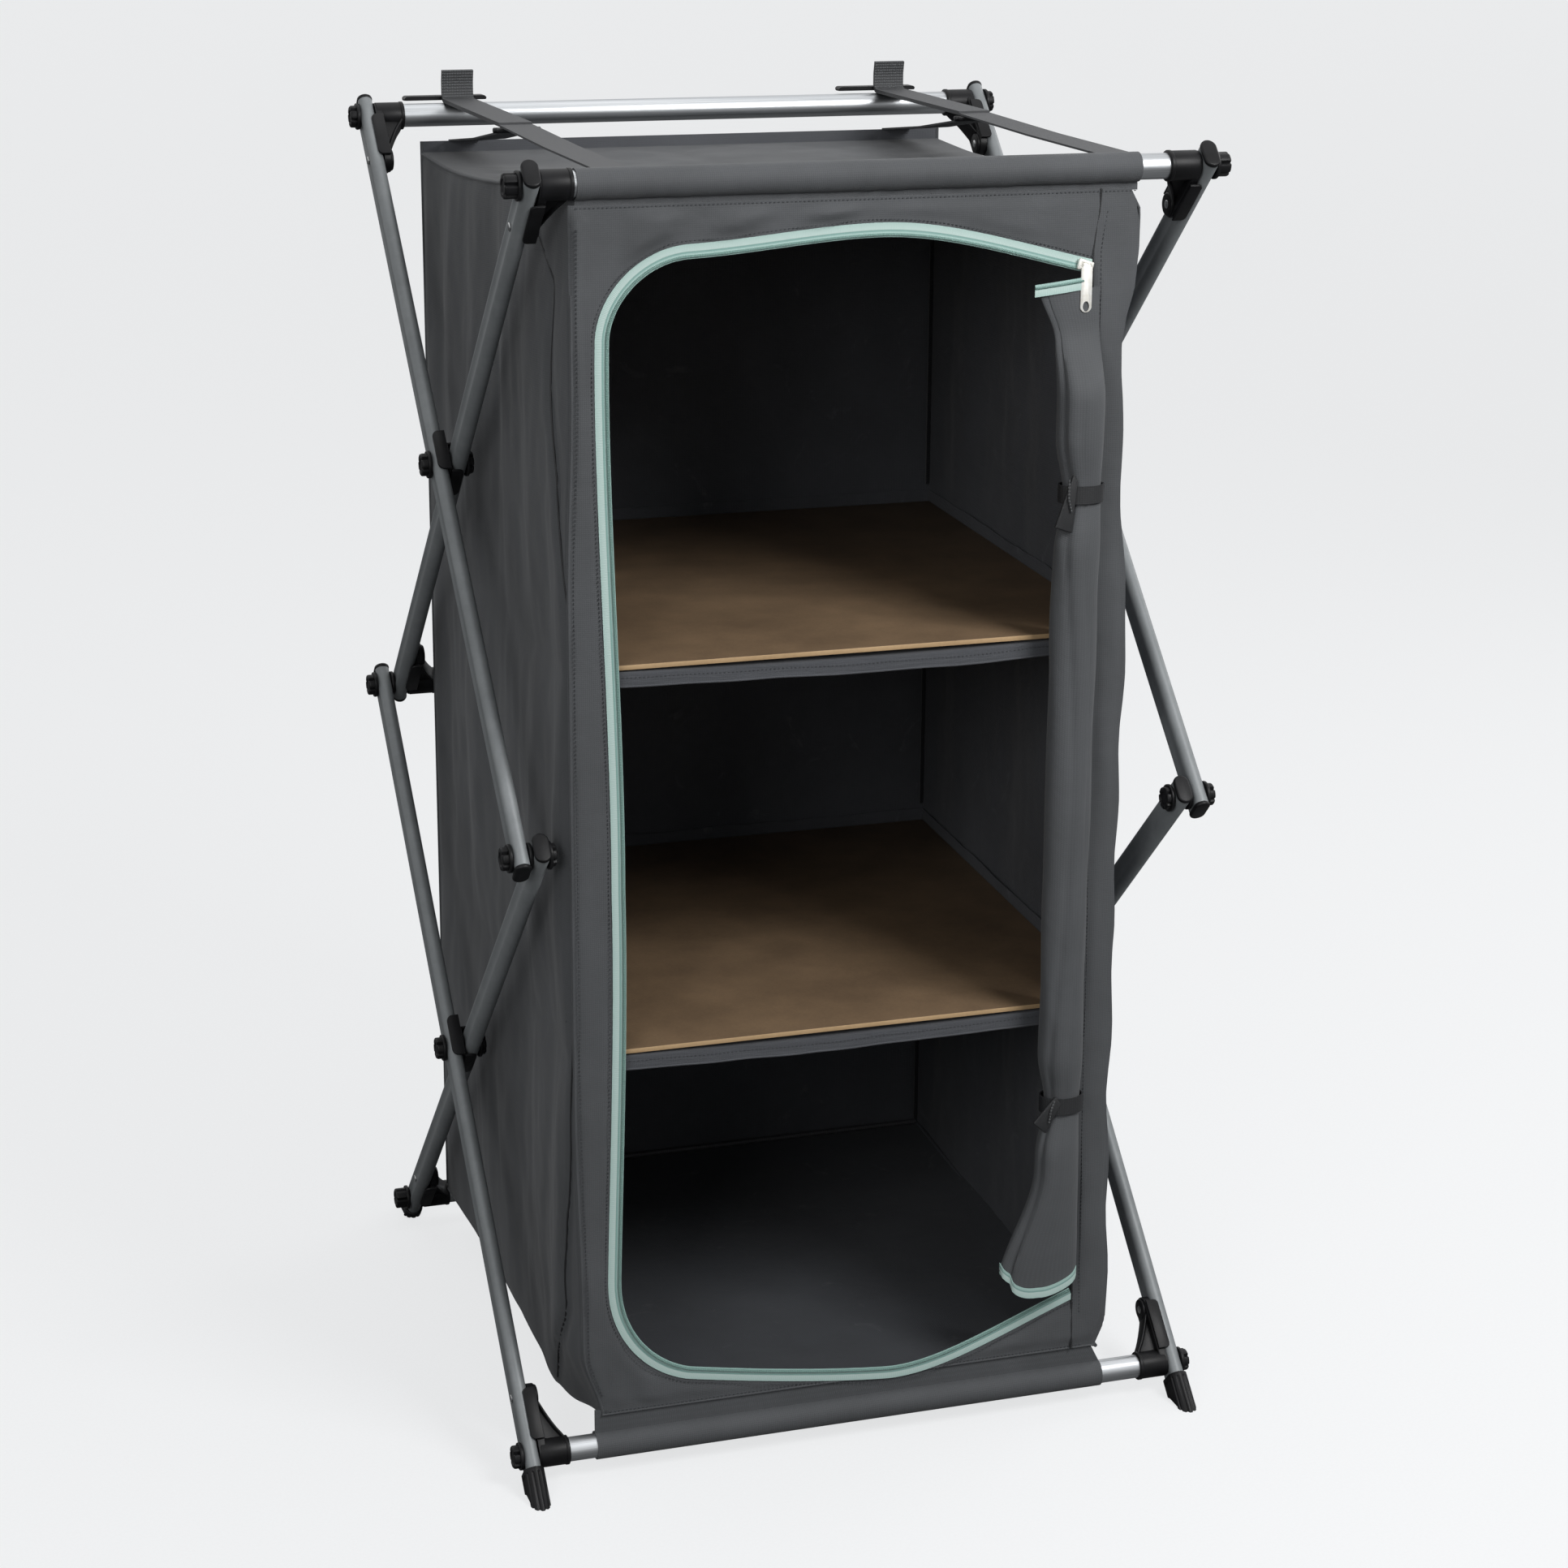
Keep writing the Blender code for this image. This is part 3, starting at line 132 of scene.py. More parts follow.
def wovenPolyester(name, dark, light, scuffs=0.0):
    # Polyester oxford cloth with a coated back: matt, with a fine square weave and soft patches where it has
    # been folded. A real thread is 0.4 mm; it is drawn as 1.6 mm so that it shows.
    material, tree, shader, uv = startMaterial(name, 0.78, ior=1.5, space="UV")
    thread = {"Scale": wavePeriod / 0.0016, "Distortion": 0.6, "Detail": 0.0}
    warp, weft = (addNode(tree, "TexWave", {"Vector": uv}, thread, bands_direction=way).outputs["Fac"]
                  for way in "XY")
    weave = addNode(tree, "Math", {0: warp, 1: weft}, operation="MULTIPLY").outputs[0]
    patches = addNode(tree, "TexNoise", {"Vector": uv}, {"Scale": 9.0, "Detail": 5.0, "Roughness": 0.6})
    creases = addNode(tree, "TexNoise", {"Vector": uv},
                      {"Scale": 38.0, "Detail": 4.0, "Roughness": 0.55, "Distortion": 0.8})
    shade = addNode(tree, "Math", {0: weave, 2: patches.outputs["Fac"]}, {1: 0.22}, operation="MULTIPLY_ADD")
    colour = mixColours(tree, shader, shade.outputs[0], (dark, light), (0.25, 0.85))
    if scuffs:
        marks = addNode(tree, "TexNoise", {"Vector": uv},
                        {"Scale": 16.0, "Detail": 9.0, "Roughness": 0.72, "Distortion": 1.6})
        dusted(tree, shader, colour, marks.outputs["Fac"], 0.60, scuffs, "#8e9196")
    threads = addNode(tree, "Bump", {"Height": weave}, {"Strength": 0.30, "Distance": 0.0004})
    addNode(tree, "Bump", {"Height": creases.outputs["Fac"], "Normal": threads.outputs[0]},
            {"Strength": 0.35, "Distance": 0.0016}, shader.inputs["Normal"])
    shader.inputs["Sheen Weight"].default_value = 0.08
    shader.inputs["Sheen Roughness"].default_value = 0.5
    return material


def ribbedWebbing(name, dark, light, rib, strength):
    # Webbing, tape, coil or thread: ribs run across it, and its colour follows them, with painted shade in the grooves
    # and a painted highlight on the crests, where the threads catch the light
    material, tree, shader, uv = startMaterial(name, 0.62, ior=1.49, space="UV")
    ribs = addNode(tree, "TexWave", {"Vector": uv},
                   {"Scale": wavePeriod / rib, "Distortion": 0.8, "Detail": 1.0, "Detail Scale": 3.0},
                   bands_direction="Y")
    threads = addNode(tree, "TexWave", {"Vector": uv}, {"Scale": wavePeriod / (rib * 0.55), "Distortion": 1.5})
    both = addNode(tree, "Math", {0: ribs.outputs["Fac"], 1: threads.outputs["Fac"]}, operation="MULTIPLY")
    # painted shade and highlight: dark between the ribs, pale on their crests
    mixColours(tree, shader, both.outputs[0], (dark, light), (0.05, 0.9))
    addNode(tree, "Bump", {"Height": both.outputs[0]}, {"Strength": strength, "Distance": 0.0006},
            shader.inputs["Normal"])
    return material


def wovenTape(name):
    # Polyester zip tape, woven flat: two pale bands with a darker line between them, where the coil is sewn on
    material, tree, shader, uv = startMaterial(name, 0.7, ior=1.5, space="UV")
    across = addNode(tree, "SeparateXYZ", {"Vector": uv}).outputs["X"]
    share = addNode(tree, "Math", {0: across}, {1: 1 / tapeWidth}, operation="MULTIPLY")
    mint = ("#abc5bf", "#bbcfca", "#7a9f98", "#87a9a3", "#a6c2bc", "#9cbcb5")
    mixColours(tree, shader, share.outputs[0], mint, (0.0, 0.46, 0.52, 0.60, 0.66, 1.0))
    threads = addNode(tree, "TexWave", {"Vector": uv}, {"Scale": wavePeriod / 0.0012}, bands_direction="Y")
    addNode(tree, "Bump", {"Height": threads.outputs["Fac"]}, {"Strength": 0.25, "Distance": 0.0004},
            shader.inputs["Normal"])
    return material


def hardSurface(name, roughness, metallic, ior, tone, colours, places, grain, strength, distance=0.0002,
                stretch=None, shine=0.5):
    # A moulded, coated or drawn surface: a noise for its tone and one for its grain, each with scale and detail
    material, tree, shader, spot = startMaterial(name, roughness, metallic, ior)
    shader.inputs["Specular IOR Level"].default_value = shine
    if stretch:
        spot = addNode(tree, "Mapping", {"Vector": spot}, {"Scale": stretch}).outputs[0]
    shade, height = (
        addNode(tree, "TexNoise", {"Vector": spot}, dict(zip(("Scale", "Detail", "Roughness"), sizes)))
        for sizes in (tone, grain))
    mixColours(tree, shader, shade.outputs["Fac"], colours, places)
    addNode(tree, "Bump", {"Height": height.outputs["Fac"]}, {"Strength": strength, "Distance": distance},
            shader.inputs["Normal"])
    return material


def fibreboard(name, dark, light, streaks=0.0):
    # Hardboard: pressed wood fibre, mottled at 2 to 20 mm, with a few pale rubs; its sawn edge is lighter
    material, tree, shader, spot = startMaterial(name, 0.60, ior=1.5)
    fibres, clouds = (
        addNode(tree, "TexNoise", {"Vector": spot}, {"Scale": scale, "Detail": detail, "Roughness": rough})
        for scale, detail, rough in ((420.0, 6.0, 0.75), (14.0, 5.0, 0.6)))
    both = addNode(tree, "Math", {0: fibres.outputs["Fac"], 2: clouds.outputs["Fac"]}, {1: 0.45},
                   operation="MULTIPLY_ADD")
    colour = mixColours(tree, shader, both.outputs[0], (dark, light), (0.50, 0.95))
    if streaks:
        long = addNode(tree, "Mapping", {"Vector": spot}, {"Rotation": (0, 0, 0.9), "Scale": (9.0, 90.0, 1.0)})
        rubs = addNode(tree, "TexNoise", {"Vector": long.outputs[0]},
                       {"Scale": 1.0, "Detail": 8.0, "Roughness": 0.75})
        dusted(tree, shader, colour, rubs.outputs["Fac"], 0.66, streaks, "#a99a86")
    addNode(tree, "Bump", {"Height": fibres.outputs["Fac"]}, {"Strength": 0.15, "Distance": 0.0003},
            shader.inputs["Normal"])
    return material


looks = {
    "cloth": wovenPolyester("wovenPolyester", "#404244", "#4f5154"),
    "clothInside": wovenPolyester("coatedBack", "#3d3f43", "#4e5055", 0.30),
    "clothFloor": wovenPolyester("coatedFloor", "#303236", "#3d4045", 0.30),
    # Polypropylene webbing, ribbed every 2 mm, dark and soft; the loops' is coarser, its rib crests painted pale as
    # highlights
    "webbing": ribbedWebbing("grosgrainWebbing", "#3a3b3d", "#4d4e50", 0.0020, 0.35),
    "loopWebbing": ribbedWebbing("coarseWebbing", "#2a2b2d", "#77797b", 0.0026, 0.9),
    # Black polyester tape, flat and nearly without a pattern
    "tie": ribbedWebbing("blackTape", "#161719", "#242527", 0.0020, 0.3),
    "tape": wovenTape("wovenZipTape"),
    # Nylon coil, moulded in mint turns 1.3 mm apart, each turn's crest painted paler as a highlight, and spun polyester
    # thread a little paler than the cloth
    "coil": ribbedWebbing("nylonCoil", "#6f948c", "#a9c5be", 0.0013, 0.9),
    "thread": ribbedWebbing("spunThread", "#3a3c3f", "#5b5d61", 0.0010, 0.2),
    # Glass-filled polyamide, injection moulded: black, satin, with a faint spark-eroded grain of 1 mm
    "plastic": hardSurface("mouldedPolyamide", 0.42, 0.0, 1.53, (60.0, 4.0), ("#111112", "#1b1b1d"), (0.35, 0.75),
                           (900.0, 2.0), 0.12, shine=0.16),
    # Powder-coated steel: mid grey with a slight metallic sparkle and an orange-peel surface about 2 mm across
    "bar": hardSurface("greyPowderCoat", 0.50, 0.15, None, (22.0, 6.0, 0.7), ("#74787a", "#888c8e"), (0.3, 0.75),
                       (450.0, 3.0), 0.10, 0.0003),
    # Drawn aluminium tube: bright, with fine lines along its length
    "tube": hardSurface("drawnAluminium", 0.38, 1.0, None, (1.0, 4.0), ("#aeb1b4", "#c9cbcd"), (0.35, 0.7),
                        (1.0, 4.0), 0.10, stretch=(6.0, 1400.0, 1400.0)),
    # Die-cast zinc and steel, tumbled bright: soft scratches a few millimetres long
    "zinc": hardSurface("diecastZinc", 0.48, 0.55, None, (320.0, 5.0), ("#e2dfd6", "#f2f2f0"), (0.3, 0.8),
                        (320.0, 5.0), 0.08),
    "rivet": hardSurface("steelRivet", 0.28, 1.0, None, (320.0, 5.0), ("#a8aaac", "#f2f2f0"), (0.3, 0.8),
                         (320.0, 5.0), 0.08),
    "boardFace": fibreboard("pressedFibreFace", "#5f4d3a", "#7b654d", 0.45),
    "boardEdge": fibreboard("sawnFibreEdge", "#a58863", "#bfa17a"),
}
print("materials are ready")


# Modelling helpers. A rule says which parts of a mesh are meant, from each one's middle and facing.

def smooth(t):
    t = min(max(t, 0.0), 1.0)
    return t * t * (3 - 2 * t)


def everywhere(middle, facing):
    return True


def along(axis, way=0):
    # What looks along an axis, or only one way along it
    index = "XYZ".index(axis)
    return lambda middle, facing: (facing[index] * way if way else abs(facing[index])) > 0.99


def leaveEdit():
    if bpy.context.mode != "OBJECT":
        bpy.ops.object.mode_set(mode="OBJECT")


def activate(*pieces):
    leaveEdit()
    bpy.ops.object.select_all(action="DESELECT")
    for piece in pieces:
        piece.select_set(True)
    bpy.context.view_layer.objects.active = pieces[0]


def settle(name):
    piece = bpy.context.object  # the primitive that was just added, with its place moved into its mesh
    piece.name = piece.data.name = name
    bpy.ops.object.transform_apply(location=True, rotation=True, scale=True)
    return piece


def pick(piece, kind, rule):
    if bpy.context.mode != "EDIT_MESH":
        activate(piece)
        bpy.ops.object.mode_set(mode="EDIT")
    bpy.ops.mesh.select_mode(type=kind)
    bpy.ops.mesh.select_all(action="DESELECT")
    mesh = bmesh.from_edit_mesh(piece.data)
    mesh.normal_update()
    for part in {"VERT": mesh.verts, "EDGE": mesh.edges, "FACE": mesh.faces}[kind]:
        if kind == "VERT":
            middle, facing = part.co, part.normal
        elif kind == "EDGE":
            start, end = (vert.co for vert in part.verts)
            middle, facing = (start + end) / 2, (end - start).normalized()
        else:
            middle, facing = part.calc_center_median(), part.normal
        if rule(middle, facing):
            part.select_set(True)
    mesh.select_flush_mode()
    bmesh.update_edit_mesh(piece.data)


def bevelled(piece, kind, rule, offset, segments=3):
    # Rounds the edges that are meant, or the rim of the faces
    pick(piece, kind, rule)
    if kind == "FACE":
        bpy.ops.mesh.region_to_loop()
    bpy.ops.mesh.bevel(offset=offset, segments=segments, affect="EDGES")
    leaveEdit()


def sunk(piece, rule, *steps):
    pick(piece, "FACE", rule)
    for thickness, depth in steps:
        bpy.ops.mesh.inset(thickness=thickness, depth=depth)
    leaveEdit()


def pulled(piece, rule, way):
    pick(piece, "VERT", rule)
    bpy.ops.transform.translate(value=way)
    leaveEdit()


def cutAt(piece, point, normal, **how):
    pick(piece, "FACE", everywhere)
    bpy.ops.mesh.bisect(plane_co=point, plane_no=normal, **how)
    leaveEdit()


def applied(piece, kind, **settings):
    activate(piece)
    step = piece.modifiers.new(kind, kind)
    for name, value in settings.items():
        setattr(step, name, value)
    bpy.ops.object.modifier_apply(modifier=step.name)


def shape(piece, mover):
    for vert in piece.data.vertices:
        vert.co = mover(vert.co.copy())
    piece.data.update()
    return piece


def shifted(piece, *way):
    return shape(piece, lambda co: co + Vector(way))


def addBlock(name, low, high, bevel=0.0, segments=2):
    low, high = Vector(low), Vector(high)
    bpy.ops.mesh.primitive_cube_add(size=1, location=(low + high) / 2, scale=high - low)
    piece = settle(name)
    if bevel:
        bevelled(piece, "EDGE", everywhere, bevel, segments)
    return piece


def addRod(name, radius, start, end, axis="X", sides=40, rim=0.0):
    turn = {"X": (0, pi / 2, 0), "Y": (pi / 2, 0, 0), "Z": (0, 0, 0)}[axis]
    middle = [(start + end) / 2 if letter == axis else 0 for letter in "XYZ"]
    bpy.ops.mesh.primitive_cylinder_add(vertices=sides, radius=radius, depth=abs(end - start), location=middle,
                                        rotation=turn)
    piece = settle(name)
    if rim:
        bevelled(piece, "FACE", along(axis), rim)
    return piece


def addStadium(name, thick, deep, low, high, sides=40, rim=0.0):
    piece = addRod(name, thick / 2, low, high, "Z", sides)
    for way in (1, -1):
        pulled(piece, lambda middle, facing: middle.y * way > 1e-5, (0, way * (deep - thick) / 2, 0))
    if rim:
        bevelled(piece, "FACE", along("Z"), rim)
    return piece


def joined(name, *pieces):
    activate(*pieces)
    bpy.ops.object.join()
    pieces[0].name = pieces[0].data.name = name
    return pieces[0]


def smoothed(piece, angle=32):
    activate(piece)
    bpy.ops.object.shade_smooth_by_angle(angle=radians(angle))
    return piece


def copied(piece, name, matrix):
    copy = piece.copy()
    copy.data = piece.data.copy()
    copy.name = copy.data.name = name
    bpy.context.scene.collection.objects.link(copy)
    copy.data.transform(matrix)
    if matrix.determinant() < 0:
        copy.data.flip_normals()
    return copy


def discard(*pieces):
    for piece in pieces:
        bpy.data.objects.remove(piece)


def dress(piece, body, look, nodes=()):
    if look:
        piece.data.materials.clear()
        piece.data.materials.append(looks[look])
    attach(piece, body)
    if nodes:
        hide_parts(*nodes)
    return piece


def hang(piece, look="cloth", nodes=()):
    # On a wall, which falls together when the frame folds
    dress(piece, "cupboard_body", look, nodes)
    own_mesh(piece)
    return piece


# Frame hardware. Each piece is made for a left bar, with the bar's middle at the origin, the cupboard's
# middle at +X and the corner tube at +Z, then placed on each bar and mirrored to the right.

toCorner = Matrix.Translation((0, 0, barLength / 2))
toFar = Matrix.Translation((0, 0, -barLength / 2)) @ Matrix.Rotation(pi, 4, "X")
mirror = Matrix.Diagonal((-1, 1, 1, 1))
sides = (("left", -1), ("right", 1))


def barPlace(name):
    barX, corner, far = frames[name]
    cornerY, cornerZ, farY, farZ = (place[key] for key in corner + far)
    tilt = atan2(farY - cornerY, cornerZ - farZ)
    middle = Vector((-place[barX], (cornerY + farY) / 2, (cornerZ + farZ) / 2))
    return Matrix.Translation(middle) @ Matrix.Rotation(tilt, 4, "X")


def placePair(piece, frameName, name, nodes=(), local=Matrix.Identity(4), look="plastic"):
    made = []
    for word, side in sides:
        matrix = barPlace(frameName) @ local
        copy = copied(piece, f"{name}_{word}", matrix if side < 0 else mirror @ matrix)
        made.append(dress(copy, frameName + "_frame", look, [f"{node}_{word}" for node in nodes]))
    return made


def isOuter(name):
    return frames[name][0] == "outerBarX"


bar = {"thick": 0.0125, "deep": 0.024, "plug": 0.003, "overrun": 0.0155, "footOverrun": 0.020,
       "groove": 0.0008, "grooveHalf": 0.0030, "grooveLip": 0.0022, "rim": 0.0004}
innerFace = bar["thick"] / 2 + place["seat"]


def makeBar(cornerOverrun):
    low = -barLength / 2 - bar["overrun"] + bar["plug"]
    high = barLength / 2 + cornerOverrun - bar["plug"]
    piece = addStadium("barStock", bar["thick"], bar["deep"], low, high, 48, bar["rim"])
    for y in (bar["grooveHalf"], bar["grooveHalf"] + bar["grooveLip"]):
        for way in (1, -1):
            cutAt(piece, (0, way * y, 0), (0, 1, 0))
    shrink = 1 - 2 * bar["groove"] / bar["thick"]
    pick(piece, "VERT", lambda middle, facing: abs(middle.y) < bar["grooveHalf"] + 1e-5)
    bpy.ops.transform.resize(value=(shrink, 1, 1))
    leaveEdit()
    return smoothed(piece, 40)


cap = {"rim": 0.0016, "deep": 0.0250, "thick": 0.0134, "skirt": 0.0012}
for frameName in frames:
    top = frameName.startswith("top")
    overrun = bar["overrun"] if top else bar["footOverrun"]
    stock = makeBar(overrun)
    placePair(stock, frameName, frameName + "_bar", [frameName + "_bar"], look="bar")
    discard(stock)
    ends = [("far", -barLength / 2 - bar["overrun"], -1)] + ([("corner", barLength / 2 + overrun, 1)] if top else [])
    for word, end, way in ends:
        low, high = sorted((end, end - way * (bar["plug"] + cap["skirt"])))
        plug = smoothed(addStadium("plug", cap["thick"], cap["deep"], low, high, 48, cap["rim"]))
        placePair(plug, frameName, f"{frameName}_plug_{word}")
        discard(plug)
print("bars are ready")

bracket = {"armWidth": 0.0222, "armThick": 0.0066, "armEnd": 0.0600, "armRim": 0.0014, "bossRadius": 0.0092,
           "socketRadius": 0.0116, "socketLength": 0.026, "collar": 0.0005,
           "webEnd": 0.0430, "webHalf": 0.0082, "webSteps": 8, "webHigh": -0.0030, "waistStart": 0.0105,
           "pocket": 0.0030,
           "lipReach": 0.0050, "lipThick": 0.0016, "lipTop": 0.0085, "lipCorner": 0.0042}
rivet = {"radius": 0.0036, "height": 0.0014, "z": 0.0105 - bracket["armEnd"]}


def addCheek(name, x, y, z, way, corner):
    # A lip beside a bar, with its free corners rounded and the rim of its outer face softened
    y = sorted(way * value for value in y)
    piece = addBlock(name, (x[0], y[0], z[0]), (x[1], y[1], z[1]))
    bevelled(piece, "EDGE", lambda middle, facing: abs(facing.y) > 0.99 and middle.x < x[0] + 1e-4, corner, 5)
    bevelled(piece, "FACE", along("Y", way), 0.0006, 2)
    return piece


def makeBracket():
    b, base = bracket, innerFace
    top = base + b["armThick"]
    arm = addRod("arm", b["armWidth"] / 2, base, top, "X", 48)
    pulled(arm, lambda middle, facing: middle.z < -1e-5, (0, 0, b["armWidth"] / 2 - b["armEnd"]))
    bevelled(arm, "FACE", along("X", 1), b["armRim"])
    boss = shifted(addRod("boss", b["bossRadius"], base + 0.001, top + 0.0018, "X", 40, 0.0012), 0, 0, rivet["z"])
    lips = []
    near = bar["deep"] / 2 + place["seat"]
    far = near + b["lipThick"]
    for way in (1, -1):
        span = (0.007 - b["armEnd"], -b["lipTop"])
        lips.append(addCheek("lip", (base - b["lipReach"], top - 0.0008), (near, far), span, way, b["lipCorner"]))
        y = sorted((way * (near - 0.0022), way * (far - 0.0003)))
        high = (top - 0.0012, y[1], span[1] - 0.001)
        lips.append(addBlock("shoulder", (base, y[0], 0.008 - b["armEnd"]), high, 0.0005))
    end = base + b["socketLength"]
    socket = addRod("socket", b["socketRadius"], base + 0.0010, end, "X", 56, 0.0008)
    collar = addRod("collar", b["socketRadius"] + b["collar"], end - 0.0034, end - 0.0004, "X", 56, b["collar"])
    low, high = -b["webEnd"], b["webHigh"]
    mouth, waist = end - 0.0012, top + 0.0006
    web = addBlock("web", (base + 0.0006, -b["webHalf"], low), (mouth, b["webHalf"], high))
    for step in range(1, b["webSteps"]):
        cutAt(web, (0, 0, low + (high - low) * step / b["webSteps"]), (0, 0, 1))

    def hollowed(co):
        if co.x < mouth - 1e-4:
            return co
        drop = max(0.0, (-b["waistStart"] - co.z) / (b["webEnd"] - b["waistStart"]))
        return Vector((mouth + (waist - mouth) * min(1.0, drop) ** 0.72, co.y * (1 - 0.12 * (1 - drop)), co.z))

    shape(web, hollowed)
    sunk(web, lambda middle, facing: abs(facing.y) > 0.8, (0.0016, 0), (0.0010, -b["pocket"]))
    applied(web, "BEVEL", width=0.0006, segments=2, limit_method="ANGLE")
    return smoothed(joined("bracket", arm, boss, *lips, socket, collar, web))


knob = {"flange": 0.0114, "flangeThick": 0.0028, "radius": 0.0095, "notch": 0.0022, "lobes": 6,
        "outer": 0.008, "inner": 0.0126, "nut": 0.0065}  # heights of the head


def makeKnob(height):
    k = knob
    flange = addRod("flange", k["flange"], 0, -k["flangeThick"], "X", 48, 0.0007)
    head = addRod("head", k["radius"], -0.0005, -height, "X", 72)
    bevelled(head, "FACE", along("X", -1), 0.0015, 4)
    sunk(head, lambda middle, facing: facing.x < -0.99 and middle.x < -height + 1e-4, (0.0020, 0), (0.0007, -0.0009))

    def lobed(co):
        reach = hypot(co.y, co.z)
        dip = max(0.0, cos(k["lobes"] * atan2(co.z, co.y))) ** 4 * k["notch"] * smooth((reach - 0.005) / 0.003)
        scale = 1 - dip / max(reach, 1e-6)
        return Vector((co.x, co.y * scale, co.z * scale))

    shape(head, lobed)
    return smoothed(joined("knob", flange, head))


def makeRivet(x, way):
    piece = addRod("rivet", rivet["radius"], x, x + way * rivet["height"], "X", 32, rivet["height"] * 0.75)
    return shifted(smoothed(piece, 50), 0, 0, rivet["z"])


bracketStock = makeBracket()
innerRivet = makeRivet(innerFace + bracket["armThick"] + 0.0008, 1)
outerRivet = makeRivet(-bar["thick"] / 2 + bar["groove"] - 0.0001, -1)
for frameName in frames:
    placePair(bracketStock, frameName, frameName + "_bracket", [frameName + "_bracket"], toCorner)
    for stock, word in ((innerRivet, "inner"), (outerRivet, "outer")):
        placePair(stock, frameName, f"{frameName}_rivet_{word}", (), toCorner, "rivet")
    head = shifted(makeKnob(knob["outer" if isOuter(frameName) else "inner"]), -innerFace, 0, 0)
    placePair(head, frameName, frameName + "_corner_knob", (), toCorner)
    discard(head)
placePair(bracketStock, "top_front", "mid_rear_bracket", ["mid_rear_bracket"], toFar)
placePair(innerRivet, "top_front", "mid_rear_rivet", (), toFar, "rivet")
discard(bracketStock, innerRivet, outerRivet)
print("brackets are ready")

saddle = {"length": 0.038, "base": 0.0011, "cheek": 0.0019, "reach": 0.0095, "corner": 0.0055, "outerLift": 0.005,
          "innerLift": -0.009, "gap": 0.0034}


def makeSaddle(inwards, lift):
    s, half = saddle, saddle["length"] / 2
    cheekIn = bar["deep"] / 2 + place["seat"]
    cheekOut = cheekIn + s["cheek"]
    top = innerFace + s["base"]
    parts = [addBlock("base", (innerFace, -cheekOut, -half), (top, cheekOut, half), 0.0004)]
    parts += [addCheek("cheek", (innerFace - s["reach"], top), (cheekIn, cheekOut), (-half, half), way, s["corner"])
              for way in (1, -1)]
    piece = shifted(joined("saddle", *parts), 0, 0, lift)
    if not inwards:
        piece.data.transform(mirror)
        piece.data.flip_normals()
    return smoothed(piece)


across = innerFace + saddle["gap"] + bar["thick"]  # from an outer bar's middle to an inner bar's inner face
outerKnob = shifted(makeKnob(knob["outer"]), -innerFace, 0, 0)
innerKnob = shape(makeKnob(knob["nut"]), lambda co: Vector((across - co.x, -co.y, co.z)))
near = bar["thick"] / 2 + place["seat"]
washer = smoothed(addRod("washer", 0.011, near, bar["thick"] / 2 + saddle["gap"] - place["seat"], "X", 40, 0.0006))
for frameName in frames:
    top = 1 if frameName.startswith("top") else -1
    word = "upper" if top > 0 else "lower"
    if isOuter(frameName):
        stock = makeSaddle(True, saddle["outerLift"] * top)
        placePair(stock, frameName, word + "_cross_saddle", [word + "_cross_pivot"])
        placePair(outerKnob, frameName, word + "_cross_knob")
        placePair(innerKnob, frameName, word + "_cross_nut")
        name = "mid_front" if top > 0 else "mid_rear"
        placePair(washer, frameName, name + "_washer", (), toFar)
        placePair(outerKnob, frameName, name + "_knob", [name + "_pivot"], toFar)
        if top > 0:
            placePair(innerKnob, frameName, name + "_nut", (), toFar)
    else:
        stock = makeSaddle(False, saddle["innerLift"] * top)
        placePair(stock, frameName, frameName + "_saddle", [frameName + "_saddle"])
    discard(stock)
discard(outerKnob, innerKnob, washer)
print("pivots are ready")

foot = {"start": 0.014, "end": 0.085, "thick": 0.0170, "deep": 0.0280, "collar": 0.0035, "step": 0.0012,
        "flute": 0.0012, "pitch": 0.0066}
for frameName in ("bottom_front", "bottom_rear"):
    start, end = barLength / 2 + foot["start"], barLength / 2 + foot["end"]
    cup = addStadium("cup", foot["thick"], foot["deep"], start, end, 96, 0.0008)
    for z in (start + foot["collar"], start + foot["collar"] + foot["step"]):
        cutAt(cup, (0, 0, z), (0, 0, 1))

    def fluted(co):
        flat = (foot["deep"] - foot["thick"]) / 2
        core = Vector((0, max(-flat, min(flat, co.y)), co.z))
        out = co - core
        if co.z < start + foot["collar"] + foot["step"] / 2 or out.length < foot["thick"] / 2 - 1e-3:
            return co
        turn = atan2(out.x, abs(out.y)) if abs(co.y) > flat else pi / 2
        along = abs(co.y) + (pi / 2 - abs(turn)) * foot["thick"] / 2 * 0.6
        dip = max(0.0, sin(2 * pi * along / foot["pitch"] + pi / 2)) ** 2
        return core + out * (1 - dip * foot["flute"] / out.length)

    shape(cup, fluted)
    for piece in placePair(cup, frameName, frameName + "_foot", [frameName + "_foot"]):
        cutAt(piece, (0, 0, 0), (0, 0, 1), clear_inner=True, use_fill=True)  # level with the ground
        smoothed(piece, 38)
    discard(cup)
print("feet are ready")

tube = {"floor": 0.0045, "rim": 0.0006}
for name, body, barX, y, z in (
    ("bottom_front_tube", "bottom_front_frame", "outerBarX", "frontY", "lowZ"),
    ("bottom_rear_tube", "bottom_rear_frame", "innerBarX", "rearY", "lowZ"),
    ("top_front_tube", "top_front_frame", "innerBarX", "frontY", "topZ"),
    ("mid_rear_tube", "top_front_frame", "innerBarX", "rearY", "midZ"),
    ("top_rear_tube", "top_rear_frame", "outerBarX", "rearY", "topZ"),
):
    reach = place[barX] - innerFace - tube["floor"] - place["seat"]
    piece = addRod(name + "_drawn", place["tubeRadius"], -reach, reach, "X", 64, tube["rim"])
    dress(smoothed(shifted(piece, 0, place[y], place[z])), body, "tube", [name])
print("tubes are ready")

